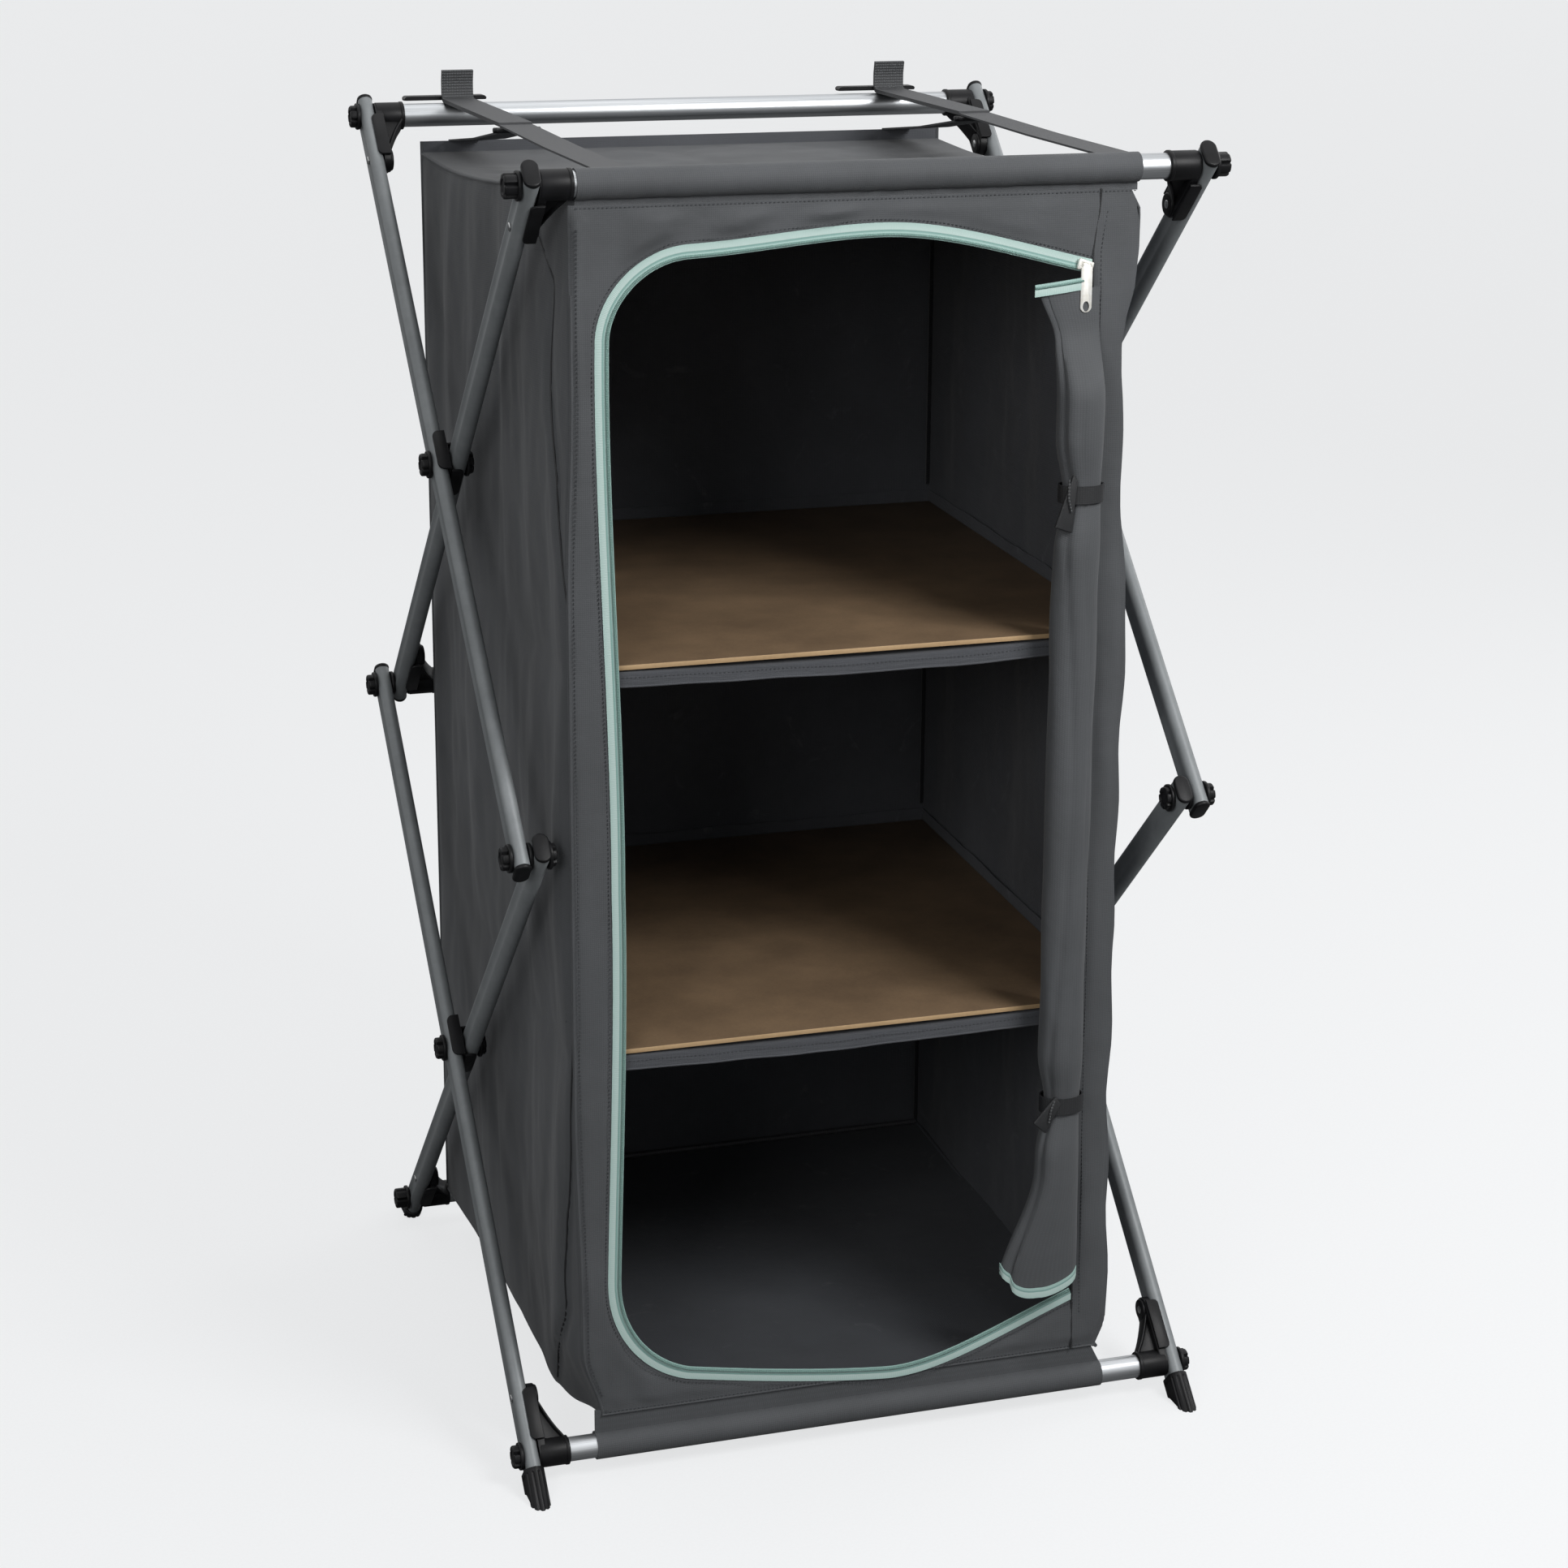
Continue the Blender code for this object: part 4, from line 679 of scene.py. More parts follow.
# Cloth. A sheet is a grid of points with its UV in metres, given its thickness afterwards.
cloth = {
    "thick": 0.0012, "left": -0.240, "right": 0.218, "backRight": 0.240, "panelY": -0.2695, "backY": 0.2495,
    "wallIn": 0.0015,  # from the panel and the back to the side walls' ends
    "bunch": 1.35,  # the side walls' columns stand closer at the front
    "floorZ": 0.0475, "shelfTops": (0.686, 0.370), "boardThick": 0.004, "sleeveRadius": 0.0117, "tail": 0.006,
    "topFrontY": -0.25972, "topFrontZ": 1.04622, "topRearZ": 1.023, "stitch": 0.0034,
}
wallFrontY, wallBackY = cloth["panelY"] + cloth["wallIn"], cloth["backY"] - cloth["wallIn"]


def placed(name, data):
    piece = bpy.data.objects.new(name, data)
    bpy.context.scene.collection.objects.link(piece)
    return piece


def placedMesh(name, mesh):
    data = bpy.data.meshes.new(name)
    mesh.to_mesh(data)
    mesh.free()
    return placed(name, data)


def gridMesh(name, rows, uvs, closed=False):
    mesh = bmesh.new()
    layer = mesh.loops.layers.uv.new("weave")
    made = [[mesh.verts.new(point) for point in row] for row in rows]
    count = len(rows[0])
    for i in range(len(rows) - 1):
        for j in range(count if closed else count - 1):
            k = (j + 1) % count
            face = mesh.faces.new((made[i][j], made[i][k], made[i + 1][k], made[i + 1][j]))
            corners = ((i, j), (i, j + 1), (i + 1, j + 1), (i + 1, j))
            for loop, (a, b) in zip(face.loops, corners):
                loop[layer].uv = uvs[a][b]
    return placedMesh(name, mesh)


def thickened(piece, thick):
    applied(piece, "SOLIDIFY", thickness=thick, offset=0.0)
    return smoothed(piece, 60)


def addSheet(name, point, columns, rows, size, thick=cloth["thick"]):
    shares = [[(j / columns, i / rows) for j in range(columns + 1)] for i in range(rows + 1)]
    grid = [[point(*share) for share in row] for row in shares]
    return thickened(gridMesh(name, grid, [[(u * size[0], v * size[1]) for u, v in row] for row in shares]), thick)


def resampled(path, step):
    points = [Vector(point) for point in path]
    lengths = [0.0]
    for a, b in zip(points, points[1:]):
        lengths.append(lengths[-1] + (b - a).length)
    count = max(2, round(lengths[-1] / step))
    line, k = [], 0
    for i in range(count + 1):
        want = lengths[-1] * i / count
        while k < len(points) - 2 and lengths[k + 1] < want:
            k += 1
        span = lengths[k + 1] - lengths[k]
        line.append(points[k].lerp(points[k + 1], (want - lengths[k]) / span if span else 0.0))
    return line


def addBand(name, path, across, width, thick, step=0.006, folds=None):
    # A flat band along a path. across is its width's direction, and folds moves its points.
    line = resampled(path, step)
    cells = 6
    rows = []
    for point in line:
        side = (across(point) if callable(across) else Vector(across)).normalized()
        shares = [j / cells - 0.5 for j in range(cells + 1)]
        spots = [point + side * width * share for share in shares]
        rows.append([folds(*pair) for pair in zip(spots, shares)] if folds else spots)
    uvs = [[(width * j / cells, i * step) for j in range(cells + 1)] for i in range(len(line))]
    return thickened(gridMesh(name, rows, uvs), thick)


def addCord(name, path, radius, sides=8, step=0.006):
    # A round seam or rolled hem along a path
    line = resampled(path, step)
    rows, uvs = [], []
    for i, point in enumerate(line):
        heading = (line[min(i + 1, len(line) - 1)] - line[max(i - 1, 0)]).normalized()
        first = heading.cross(Vector((0.3, 0.9, 0.2))).normalized()
        second = heading.cross(first)
        turn = [2 * pi * j / sides for j in range(sides)]
        rows.append([point + (first * cos(angle) + second * sin(angle)) * radius for angle in turn])
        uvs.append([(2 * pi * radius * j / sides, i * step) for j in range(sides + 1)])
    piece = gridMesh(name, rows, uvs, closed=True)
    pick(piece, "VERT", everywhere)
    bpy.ops.mesh.fill_holes(sides=0)
    bpy.ops.mesh.normals_make_consistent(inside=False)
    leaveEdit()
    return smoothed(piece, 60)


def addStitches(name, path, out, pitch=cloth["stitch"]):
    # A row of stitches: short raised threads, laid on the cloth along a path
    line = resampled(path, pitch)
    mesh = bmesh.new()
    for a, b in zip(line, line[1:]):
        along = (b - a) * 0.36
        side = along.cross(Vector(out)).normalized() * 0.00035
        up = Vector(out).normalized() * 0.00035
        middle = (a + b) / 2 + up * 0.6
        ring = [middle - along, middle - along * 0.5 + side, middle + along * 0.5 + side, middle + along,
                middle + along * 0.5 - side, middle - along * 0.5 - side]
        base = [mesh.verts.new(point - up) for point in ring]
        crown = [mesh.verts.new(middle + (point - middle) * 0.6 + up) for point in ring]
        for i in range(6):
            j = (i + 1) % 6
            mesh.faces.new((base[i], base[j], crown[j], crown[i]))
        mesh.faces.new(crown)
        mesh.faces.new(base[::-1])
    bmesh.ops.recalc_face_normals(mesh, faces=mesh.faces)
    return smoothed(placedMesh(name, mesh), 50)


def crumple(spot, scale, seed=0.0):
    return noise.noise(Vector((spot[0] / scale + seed, spot[1] / scale - seed, spot[2] / scale + 3.1 * seed)))


def hung(v, low, high):
    # Height at v up a wall that the shelves hold, and its slack: 0 at each shelf, 1 between them
    levels = [low] + sorted(top - cloth["boardThick"] for top in cloth["shelfTops"]) + [high]
    bays = len(levels) - 1
    bay = min(int(v * bays + 1e-6), bays - 1)
    share = v * bays - bay
    return levels[bay] + (levels[bay + 1] - levels[bay]) * share, max(0.0, sin(pi * share)) ** 0.6


def topHeight(y):
    t = (y - cloth["topFrontY"]) / (cloth["backY"] - cloth["topFrontY"])
    return cloth["topFrontZ"] + (cloth["topRearZ"] - cloth["topFrontZ"]) * smooth(t / 0.87) - 0.004 * sin(pi * t)


def wallX(side, y):
    # Where a side wall stands at depth y: the right one runs out to the wider back
    if side < 0:
        return cloth["left"]
    share = (y - cloth["panelY"]) / (cloth["backY"] - cloth["panelY"])
    return cloth["right"] + (cloth["backRight"] - cloth["right"]) * share


door = {
    # places of the zip's anchors, with the handles before and after each
    "anchors": (
        ((0.176, 0.953), (0, 0), (-0.061, 0.015)),
        ((0.010, 0.987), (0.050, -0.001), (-0.050, 0.001)),
        ((-0.151, 0.976), (0.056, 0.002), (-0.034, -0.003)),
        ((-0.216, 0.914), (0.003, 0.031), (-0.003, -0.114)),
        ((-0.207, 0.480), (0.001, 0.140), (0.002, -0.120)),
        ((-0.213, 0.1459), (0.002, 0.094), (-0.001, -0.046)),
        ((-0.151, 0.056), (-0.035, 0.010), (0.051, -0.010)),
        ((0.025, 0.030), (-0.055, 0.004), (0.045, -0.001)),
        ((0.188, 0.080), (-0.073, -0.028), (0, 0)),
    ),
    "steps": 16, "rise": 48,
}


def zipLine():
    line = []
    for (start, _, leave), (end, arrive, _) in zip(door["anchors"], door["anchors"][1:]):
        first, second = ([at + way for at, way in zip(*pair)] for pair in ((start, leave), (end, arrive)))
        for i in range(door["steps"]):
            t, s = i / door["steps"], 1 - i / door["steps"]
            line.append([s ** 3 * a + 3 * s * s * t * b + 3 * s * t * t * c + t ** 3 * d
                         for a, b, c, d in zip(start, first, second, end)])
    return [(x, z + place["lowZ"]) for x, z in line + [door["anchors"][-1][0]]]


zipper = {"tapeThick": 0.0006, "coil": 0.0011, "slider": (0.1697, -0.2735, 0.98061), "sliderTilt": 14.0,
          "pullerY": -0.2764, "pullerLength": 0.037, "pullerWidth": 0.0095, "pullerThick": 0.0016}
tapeY = cloth["panelY"] - 0.0013
zipPoints = [Vector((x, tapeY, z)) for x, z in zipLine()]


def zipTurn(point):
    # Across the tape, towards the door's opening
    nearest = min(range(len(zipPoints)), key=lambda i: (zipPoints[i] - point).length_squared)
    heading = zipPoints[min(nearest + 1, len(zipPoints) - 1)] - zipPoints[max(nearest - 1, 0)]
    return Vector((-heading.z, 0, heading.x)).normalized()


zipTurns = [(point.x, point.z, zipTurn(point)) for point in zipPoints]
panel = {
    "low": 0.0540, "high": 1.0385, "rings": 14, "bulge": 0.0030, "seam": 0.0075, "cornerCut": 0.016, "round": 0.0020,
    # height and place of the free right edge
    "right": ((0.054, 0.212), (0.077, 0.222), (0.190, 0.219), (0.290, 0.2155), (0.370, 0.2170), (0.420, 0.2150),
              (0.600, 0.2150), (0.686, 0.2170), (0.790, 0.2085), (0.870, 0.2065), (0.926, 0.2045), (0.971, 0.2130),
              (0.996, 0.2172), (1.021, 0.2165), (1.040, 0.2060)),
    # height of the left seam and its distance behind the corner
    "behind": ((0.040, 0.085), (0.151, 0.026), (0.300, 0.006), (0.397, 0.0015), (0.731, 0.0015), (0.820, 0.022),
               (0.914, 0.050), (0.973, 0.036), (1.010, 0.085)),
}


def between(table, height):
    # A smooth value between the points of a table
    if height <= table[0][0]:
        return table[0][1]
    for (lowAt, low), (highAt, high) in zip(table, table[1:]):
        if height <= highAt:
            return low + (high - low) * smooth((height - lowAt) / (highAt - lowAt))
    return table[-1][1]


def leftEdge(z):
    # The panel's corner stands out at mid height and runs in near the ground
    out = 0.0045 * smooth((z - 0.13) / 0.20) * smooth((0.90 - z) / 0.16)
    return cloth["left"] - out + panel["cornerCut"] * smooth((0.110 - z) / 0.060)


def rightEdge(z):
    # The free right edge waves: it bulges out under the top tube and is cut in at the bottom
    return between(panel["right"], z) + 0.0012 * sin(z * 61)


def panelFront(x, z):
    # How far the panel stands out from its plane: soft dents, and gathers over the zip's corner
    dents = crumple((x, z * 0.6, 0), 0.060, 3.0) + 0.5 * crumple((x, z * 0.8, 0), 0.022, 7.0)
    gather = 0.0
    if z > 0.92:
        fan = sin(((x + 0.26) / max(0.04, z - 0.84)) * 17)
        gather = 1.5 * fan * smooth((z - 0.92) / 0.05) * smooth((0.05 - x) / 0.12)
    corner = 0.7 * sin((x + 0.24) * 260) * smooth((0.10 - z) / 0.04) * smooth((-0.16 - x) / 0.05)
    return panel["bulge"] * (0.35 + dents + gather + corner)


def addFrontPanel():
    # Rings of cloth from the door's opening out to the panel's rim
    opening, rise = zipLine(), door["rise"]
    (x0, z0), (x1, z1) = opening[-1], opening[0]
    opening += [(x0 + (x1 - x0) * i / rise, z0 + (z1 - z0) * i / rise) for i in range(1, rise)]
    box = (left, right), (low, high) = (cloth["left"], cloth["right"]), (panel["low"], panel["high"])
    middle = Vector(((left + right) / 2, (low + high) / 2))
    rim = []
    for point in opening:
        ray = Vector(point) - middle
        rim.append(middle + ray * min((box[k][ray[k] > 0] - middle[k]) / ray[k] for k in (0, 1) if abs(ray[k]) > 1e-9))
    for corner in (Vector((x, z)) for x in (left, right) for z in (low, high)):
        rim[min(range(len(rim)), key=lambda i: (rim[i] - corner).length)] = corner
    for point in rim:
        if point.x > right - 1e-4:
            point.x = rightEdge(point.y)
        elif point.x < left + 1e-4:
            point.x = leftEdge(point.y)
    rows, rings = [], panel["rings"]
    for k in range(rings + 1):
        row, t = [], k / rings
        for inner, outer in zip(opening, rim):
            x, z = Vector(inner).lerp(outer, t)
            wide = (outer - Vector(inner)).length
            free = smooth((t * wide - 0.008) / 0.010) * smooth(((1 - t) * wide - 0.003) / 0.010)
            turnedIn = panel["round"] * (1 - smooth((x - leftEdge(z)) / 0.006)) ** 2
            row.append(Vector((x, cloth["panelY"] - 0.0002 + turnedIn - max(0.0, panelFront(x, z)) * free, z)))
        rows.append(row)
    uvs = [[(p.x, p.z) for p in row + row[:1]] for row in rows]
    piece = thickened(gridMesh("front_panel_cloth", rows, uvs, closed=True), cloth["thick"])
    half = rows[rings // 2]
    length = sum((a - b).length for a, b in zip(half, half[-1:] + half))
    area = 0.0
    for lower, upper in zip(rows, rows[1:]):
        for i in range(len(opening)):
            a, b, c, d = lower[i - 1], lower[i], upper[i], upper[i - 1]
            area += abs((a.x - c.x) * (b.z - d.z) - (b.x - d.x) * (a.z - c.z)) / 2
    return piece, (area / length, length)  # the cut is a closed band round the door: its mean width and length


wallFold = {"step": 0.0042, "swell": 0.010, "most": 0.0125, "leftmost": -0.2525, "hem": 0.0385, "hemRise": 0.013,
            "frontRise": 0.014}


def wallHem(u):
    return wallFold["hem"] + wallFold["hemRise"] * sin(pi * u) + wallFold["frontRise"] * smooth((0.13 - u) / 0.13)


def wallTop(y):
    return min(topHeight(y) - 0.0022, place["topZ"] - cloth["sleeveRadius"] - place["seat"])


def sidePoint(side, u, v):
    u = u ** cloth["bunch"]
    y = wallFrontY + (wallBackY - wallFrontY) * u
    z, slack = hung(v, wallHem(u), wallTop(y))
    edge = smooth(u / 0.05) * smooth((1 - u) / 0.06)
    back = y - wallFrontY - between(panel["behind"], z)
    tuck = smooth((back + 0.0015) / 0.0035) * (1 - smooth((back - 0.004) / 0.060))
    broad = 0.30 * sin(2 * pi * (2.3 * u - 0.35 * v)) - 0.35 * max(0.0, 1 - abs(back + 0.006) / 0.014)
    fine = 0.15 * sin(2 * pi * (5.1 * u + 0.6 * v) + side)
    swell = wallFold["swell"] * slack * edge * max(0.05, 0.50 + broad + fine)
    crease = 0.0030 * crumple((y, z * 0.20, side), 0.050, 1.0) + 0.0014 * crumple((y * 1.2, z * 0.5, side), 0.020, 5.0)
    step = wallFold["step"] * tuck * (0.35 + 0.65 * slack) * smooth(u / 0.02) * smooth((0.93 - z) / 0.06)
    swell = min(swell + crease * edge * (0.25 + 0.75 * slack) + step, wallFold["most"])
    if side > 0:
        pull = (rightEdge(z) - cloth["right"]) * (1 - smooth(u / 0.25))
        return Vector((wallX(side, y) + swell * smooth(u / 0.2) + pull, y, z))
    notch = 0.004 * (1 - smooth(u / 0.1)) * smooth((v - 0.9) / 0.1)
    pull = (leftEdge(z) - cloth["left"]) * (1 - smooth(u / 0.20))
    turnedIn = panel["round"] * (1 - smooth((y - wallFrontY) / 0.006)) ** 2
    return Vector((max(wallFold["leftmost"], cloth["left"] - swell + notch + pull + turnedIn), y, z))


def backPoint(u, v):
    x = cloth["left"] + (cloth["backRight"] - cloth["left"]) * u
    z, slack = hung(v, cloth["floorZ"] - 0.004, cloth["topRearZ"] + 0.010)
    swell = 0.004 * slack * sin(pi * u) * (0.5 + 0.5 * sin(2 * pi * 2.2 * u))
    crease = 0.0020 * crumple((x, z * 0.3, 0), 0.05, 9.0) * slack * smooth(u / 0.05) * smooth((1 - u) / 0.05)
    return Vector((x, cloth["backY"] - max(0.0, swell + crease), z))


def topPoint(u, v):
    y = cloth["topFrontY"] + (wallBackY - cloth["topFrontY"]) * v
    left = cloth["left"] + 0.004 * (1 - smooth(v / 0.1))
    x = left + (wallX(1, y) - left) * u
    ripple = 0.0028 * crumple((x * 0.6, y, 0), 0.07, 2.0) + 0.0012 * crumple((x, y, 0), 0.025, 6.0)
    free = smooth(u / 0.06) * smooth((1 - u) / 0.06) * smooth(v / 0.06) * smooth((1 - v) / 0.06)
    return Vector((x, y, topHeight(y) - 0.004 * sin(pi * u) * sin(pi * v) + ripple * free))


floorEdges = {}


def wallSpot(side, share, z):
    # The side wall's own surface at this height, where the floor is sewn to it
    low, high = 0.0, 1.0
    for _ in range(18):
        middle = (low + high) / 2
        low, high = (middle, high) if sidePoint(side, share, middle).z < z else (low, middle)
    return sidePoint(side, share, low)


def floorPoint(u, v):
    if v not in floorEdges:
        floorEdges[v] = [wallSpot(side, v ** (1 / cloth["bunch"]), cloth["floorZ"]) for side in (-1, 1)]
    left, right = floorEdges[v]
    x, y = left.x + 0.0003 + (right.x - left.x - 0.0006) * u, wallFrontY + (wallBackY - wallFrontY) * v
    lift = max(0.0, (left if u < 0.5 else right).z + 0.0015 - cloth["floorZ"]) * (1 - smooth(min(u, 1 - u) / 0.06))
    return Vector((x, y, cloth["floorZ"] + lift + 0.0014 * crumple((x, y, 0), 0.05, 4.0) * (lift == 0)))


def addSleeve(name, left, right, z, way, tail, taper=0.0):
    # Round a front tube from one side of the hem to the other, with small gathers along the seam
    cells, count = 120, 30
    rows, uvs = [], []
    for i in range(cells + 1):
        share = i / cells
        row = []
        for j in range(count + 7):
            if j < 3 or j > count + 3:
                side = 1 if j < 3 else -1
                out = 1 - j / 3 if j < 3 else (j - count - 3) / 3
                across, up = side * 0.0007, cloth["sleeveRadius"] - 0.0004 + tail * out
                x = left + (right - taper * out - left) * share
                across += 0.0005 * crumple((x, 0, 0), 0.012, way) * out
            else:
                x = left + (right - left) * share
                angle = pi / 2 - 0.06 - (2 * pi - 0.12) * (j - 3) / count
                gather = 0.0006 * crumple((x, angle * 0.004, 0), 0.010, way) * (0.5 + 0.5 * sin(angle))
                reach = cloth["sleeveRadius"] - 0.0006 + max(-0.0002, gather)
                across, up = reach * cos(angle), reach * sin(angle)
            row.append(Vector((x, place["frontY"] + across * way, z + up * way)))
        rows.append(row)
        uvs.append([(x, 0.0022 * j) for j in range(count + 7)])
    return thickened(gridMesh(name, rows, uvs), 0.0010)


frontPanel, frontCut = addFrontPanel()
hang(frontPanel, nodes=["front_panel"])
for word, side in sides:
    wall = addSheet(word + "_side_cloth", lambda u, v: sidePoint(side, u, v), 110, 170, (0.517, 1.0))
    hang(wall, "cloth" if side < 0 else "clothInside", nodes=[word + "_side_panel"])
back = addSheet("back_cloth", backPoint, 80, 120, (0.480, 0.990))
hang(back, "clothInside", nodes=["back_panel"])
floorCloth = addSheet("floor_cloth", floorPoint, 44, 60, (0.477, 0.516))
dress(floorCloth, "cupboard_body", "clothFloor", ["floor_panel"])
lowTail = panel["low"] + 0.004 - place["lowZ"] - cloth["sleeveRadius"]
lowSleeve = addSleeve("bottom_sleeve_cloth", -0.2300, 0.2171, place["lowZ"], 1, lowTail, 0.010)
dress(lowSleeve, "cupboard_body", "cloth", ["bottom_front_sleeve"])
topCloth = addSheet("top_cloth", topPoint, 80, 80, (0.480, 0.512))
dress(topCloth, "top_cover", "cloth", ["top_panel"])
topSleeve = addSleeve("top_sleeve_cloth", -0.2351, 0.213, place["topZ"], -1, cloth["tail"])
dress(topSleeve, "top_cover", "cloth")
print("cloth walls are ready")

# Seams: rolled cords where two sheets meet, and rows of stitches beside them. The two dark cords up the side tuck and
# along the door's hinge are painted shade: dark tape laid where the grooves there fall into shadow.
seam = {"cord": 0.0015, "fine": 0.0010, "shadeCord": 0.0009, "stitchIn": 0.0045, "lift": 0.0006}
span = [i / 60 for i in range(61)]
height = [panel["low"] + (panel["high"] - panel["low"]) * t for t in span]


def hinge(z):
    (x0, z0), (x1, z1) = door["anchors"][-1][0], door["anchors"][0][0]
    return x0 + (x1 - x0) * (z - place["lowZ"] - z0) / (z1 - z0) + 0.006 * smooth((z - 0.985) / 0.05)


def onPanel(x, z, lift=seam["lift"]):
    return (x, cloth["panelY"] - 0.0002 - lift - max(0.0, panelFront(x, z)), z)


def sideSeam(t, steps=400):
    z = 0.050 + 0.958 * t
    y = wallFrontY + between(panel["behind"], z)
    u = (y - wallFrontY) / (wallBackY - wallFrontY)
    levels = [hung(v / steps, wallHem(u), wallTop(y))[0] for v in range(steps + 1)]
    v = min(range(steps + 1), key=lambda i: abs(levels[i] - z)) / steps
    return sidePoint(-1, u ** (1 / cloth["bunch"]), v) + Vector((-0.0004, -0.0004, 0))


panelY, hemZ = cloth["panelY"], panel["low"]
hemLeft, hemRight = leftEdge(hemZ), rightEdge(hemZ)
for name, path, radius, look in (
    ("corner_seam_left", [(leftEdge(z) + 0.0014, panelY + 0.0016, z) for z in height if z < 0.985], 0.0017, "cloth"),
    ("corner_seam_right", [(rightEdge(z) - 0.0006, panelY + 0.0003, z) for z in height], seam["fine"], "cloth"),
    ("panel_hem", [(hemLeft + (hemRight - hemLeft) * t, panelY - 0.0003, hemZ) for t in span], seam["fine"], "cloth"),
    ("side_hem_left", [sidePoint(-1, t, 0) for t in span], seam["cord"], "cloth"),
    ("side_hem_right", [sidePoint(1, t, 0) for t in span], seam["cord"], "cloth"),
    ("rear_seam_left", [backPoint(0, t) + Vector((-0.0004, 0, 0)) for t in span], seam["cord"], "cloth"),
    ("rear_seam_right", [backPoint(1, t) + Vector((0.0004, 0, 0)) for t in span], seam["cord"], "cloth"),
    # painted shade: thin dark cords standing in for the shadow in the side tuck and the hinge fold
    ("side_shade_cord", [sideSeam(t) for t in span], seam["shadeCord"], "tie"),
    ("hinge_shade_cord", [onPanel(hinge(z) + 0.001, z, 0.0) for z in height], seam["shadeCord"], "tie"),
):
    hang(addCord(name, path, radius), look)
forward, outward = (0, -1, 0), (-1, 0, 0)
for name, path, out in (
    ("zip", [onPanel(x - turn.x * 0.0078, z - turn.z * 0.0078) for x, z, turn in zipTurns], forward),
    ("hinge", [onPanel(hinge(z) + panel["seam"], z) for z in height[2:-1]], forward),
    ("top", [(x, panelY - 0.0009, panel["high"] - 0.0022) for x in (-0.236, 0.212)], forward),
    ("bottom", [(x, panelY - 0.0009, hemZ + 0.0022) for x in (-0.222, 0.200)], forward),
    ("corner", [onPanel(leftEdge(z) + seam["stitchIn"], z) for z in height[1:-1]], forward),
    ("tack_upper", [(-0.2478, y, 0.735) for y in (-0.262, -0.247)], outward),
    ("tack_lower", [(-0.2478, y, 0.398) for y in (-0.262, -0.247)], outward),
):
    hang(addStitches("stitches_" + name, path, out), "thread")
for name, path, radius in (
    ("top_seam_left", [topPoint(0, t) + Vector((-0.0002, 0, -0.0010)) for t in span], seam["cord"]),
    ("top_seam_right", [topPoint(1, t) + Vector((0.0002, 0, -0.0010)) for t in span], seam["cord"]),
    ("top_seam_rear", [topPoint(t, 1) for t in span], seam["fine"]),
):
    dress(addCord(name, path, radius), "top_cover", "cloth")
print("seams are ready")

shelf = {"margin": 0.0032, "front": -0.2635, "back": 0.2415, "hem": 0.011, "sag": 0.004, "flange": 0.014}
for word, top in zip(("upper", "lower"), cloth["shelfTops"]):
    low, body = top - cloth["boardThick"], word + "_sling"
    board = addBlock(word + "_board", (-0.5, shelf["front"], low), (0.5, shelf["back"], top), 0.0005)

    def fitted(co):
        side = 1 if co.x > 0 else -1
        return Vector((wallX(side, co.y) - side * (shelf["margin"] + 0.5 - abs(co.x)), co.y, co.z))

    shape(board, fitted)
    for look in ("boardFace", "boardEdge"):
        board.data.materials.append(looks[look])
    for face in board.data.polygons:
        face.material_index = 0 if abs(face.normal.z) > 0.9 else 1
    dress(smoothed(board), word + "_board", None, [word + "_shelf_board"])

    def slingPoint(u, v):
        t = max(0.0, (v - 0.25) / 0.75)
        y = shelf["front"] + (wallBackY - shelf["front"]) * t
        x = cloth["left"] + 0.0009 + (wallX(1, y) - cloth["left"] - 0.0018) * u
        below = max(0.0, 1 - v / 0.25)
        wobble = 0.0016 * crumple((x, v * 0.02, top), 0.05, 8.0) * sin(pi * u) * smooth(3 * below)
        sag = shelf["sag"] * sin(pi * u) * max(0.0, 1 - 2.2 * t)
        return Vector((x, y, low - 0.0009 - sag - shelf["hem"] * below + wobble))

    sling = addSheet(word + "_sling_cloth", slingPoint, 80, 48, (0.476, 0.525))
    dress(sling, body, "clothInside", [word + "_shelf_sling"])
    hem = addCord(word + "_sling_hem", [slingPoint(t, 0.0) for t in span], seam["fine"])
    dress(hem, body, "clothInside")
    line = [slingPoint(t, 0.16) + Vector((0, -0.0006, 0)) for t in span]
    dress(addStitches(word + "_sling_stitches", line, forward), body, "thread")
    # the shelf's flange, sewn up the walls behind the board
    near, far = shelf["front"] + 0.02, shelf["back"] + 0.0038
    rim = [Vector((wallX(side, y) - side * 0.0022, y, top)) + Vector((0, 0, shelf["flange"] / 2 - 0.004))
           for side, y in ((-1, near), (-1, far), (1, far), (1, near))]

    def rippled(spot, share):
        return spot + Vector((0, 0, 0.0016 * crumple((spot.x, spot.y, top), 0.03, 2.0) * (share > 0.1)))

    for i, (a, b) in enumerate(zip(rim, rim[1:])):
        flange = addBand(f"{word}_flange_{i}", [a, b], (0, 0, 1), shelf["flange"], 0.0009, 0.012, rippled)
        dress(flange, body, "clothInside")
        inwards = Vector((0, 0, 1)).cross(b - a).normalized()
        line = [a + inwards * 0.0008, b + inwards * 0.0008]
        dress(addStitches(f"{word}_flange_stitches_{i}", line, inwards), body, "thread")
print("shelves are ready")

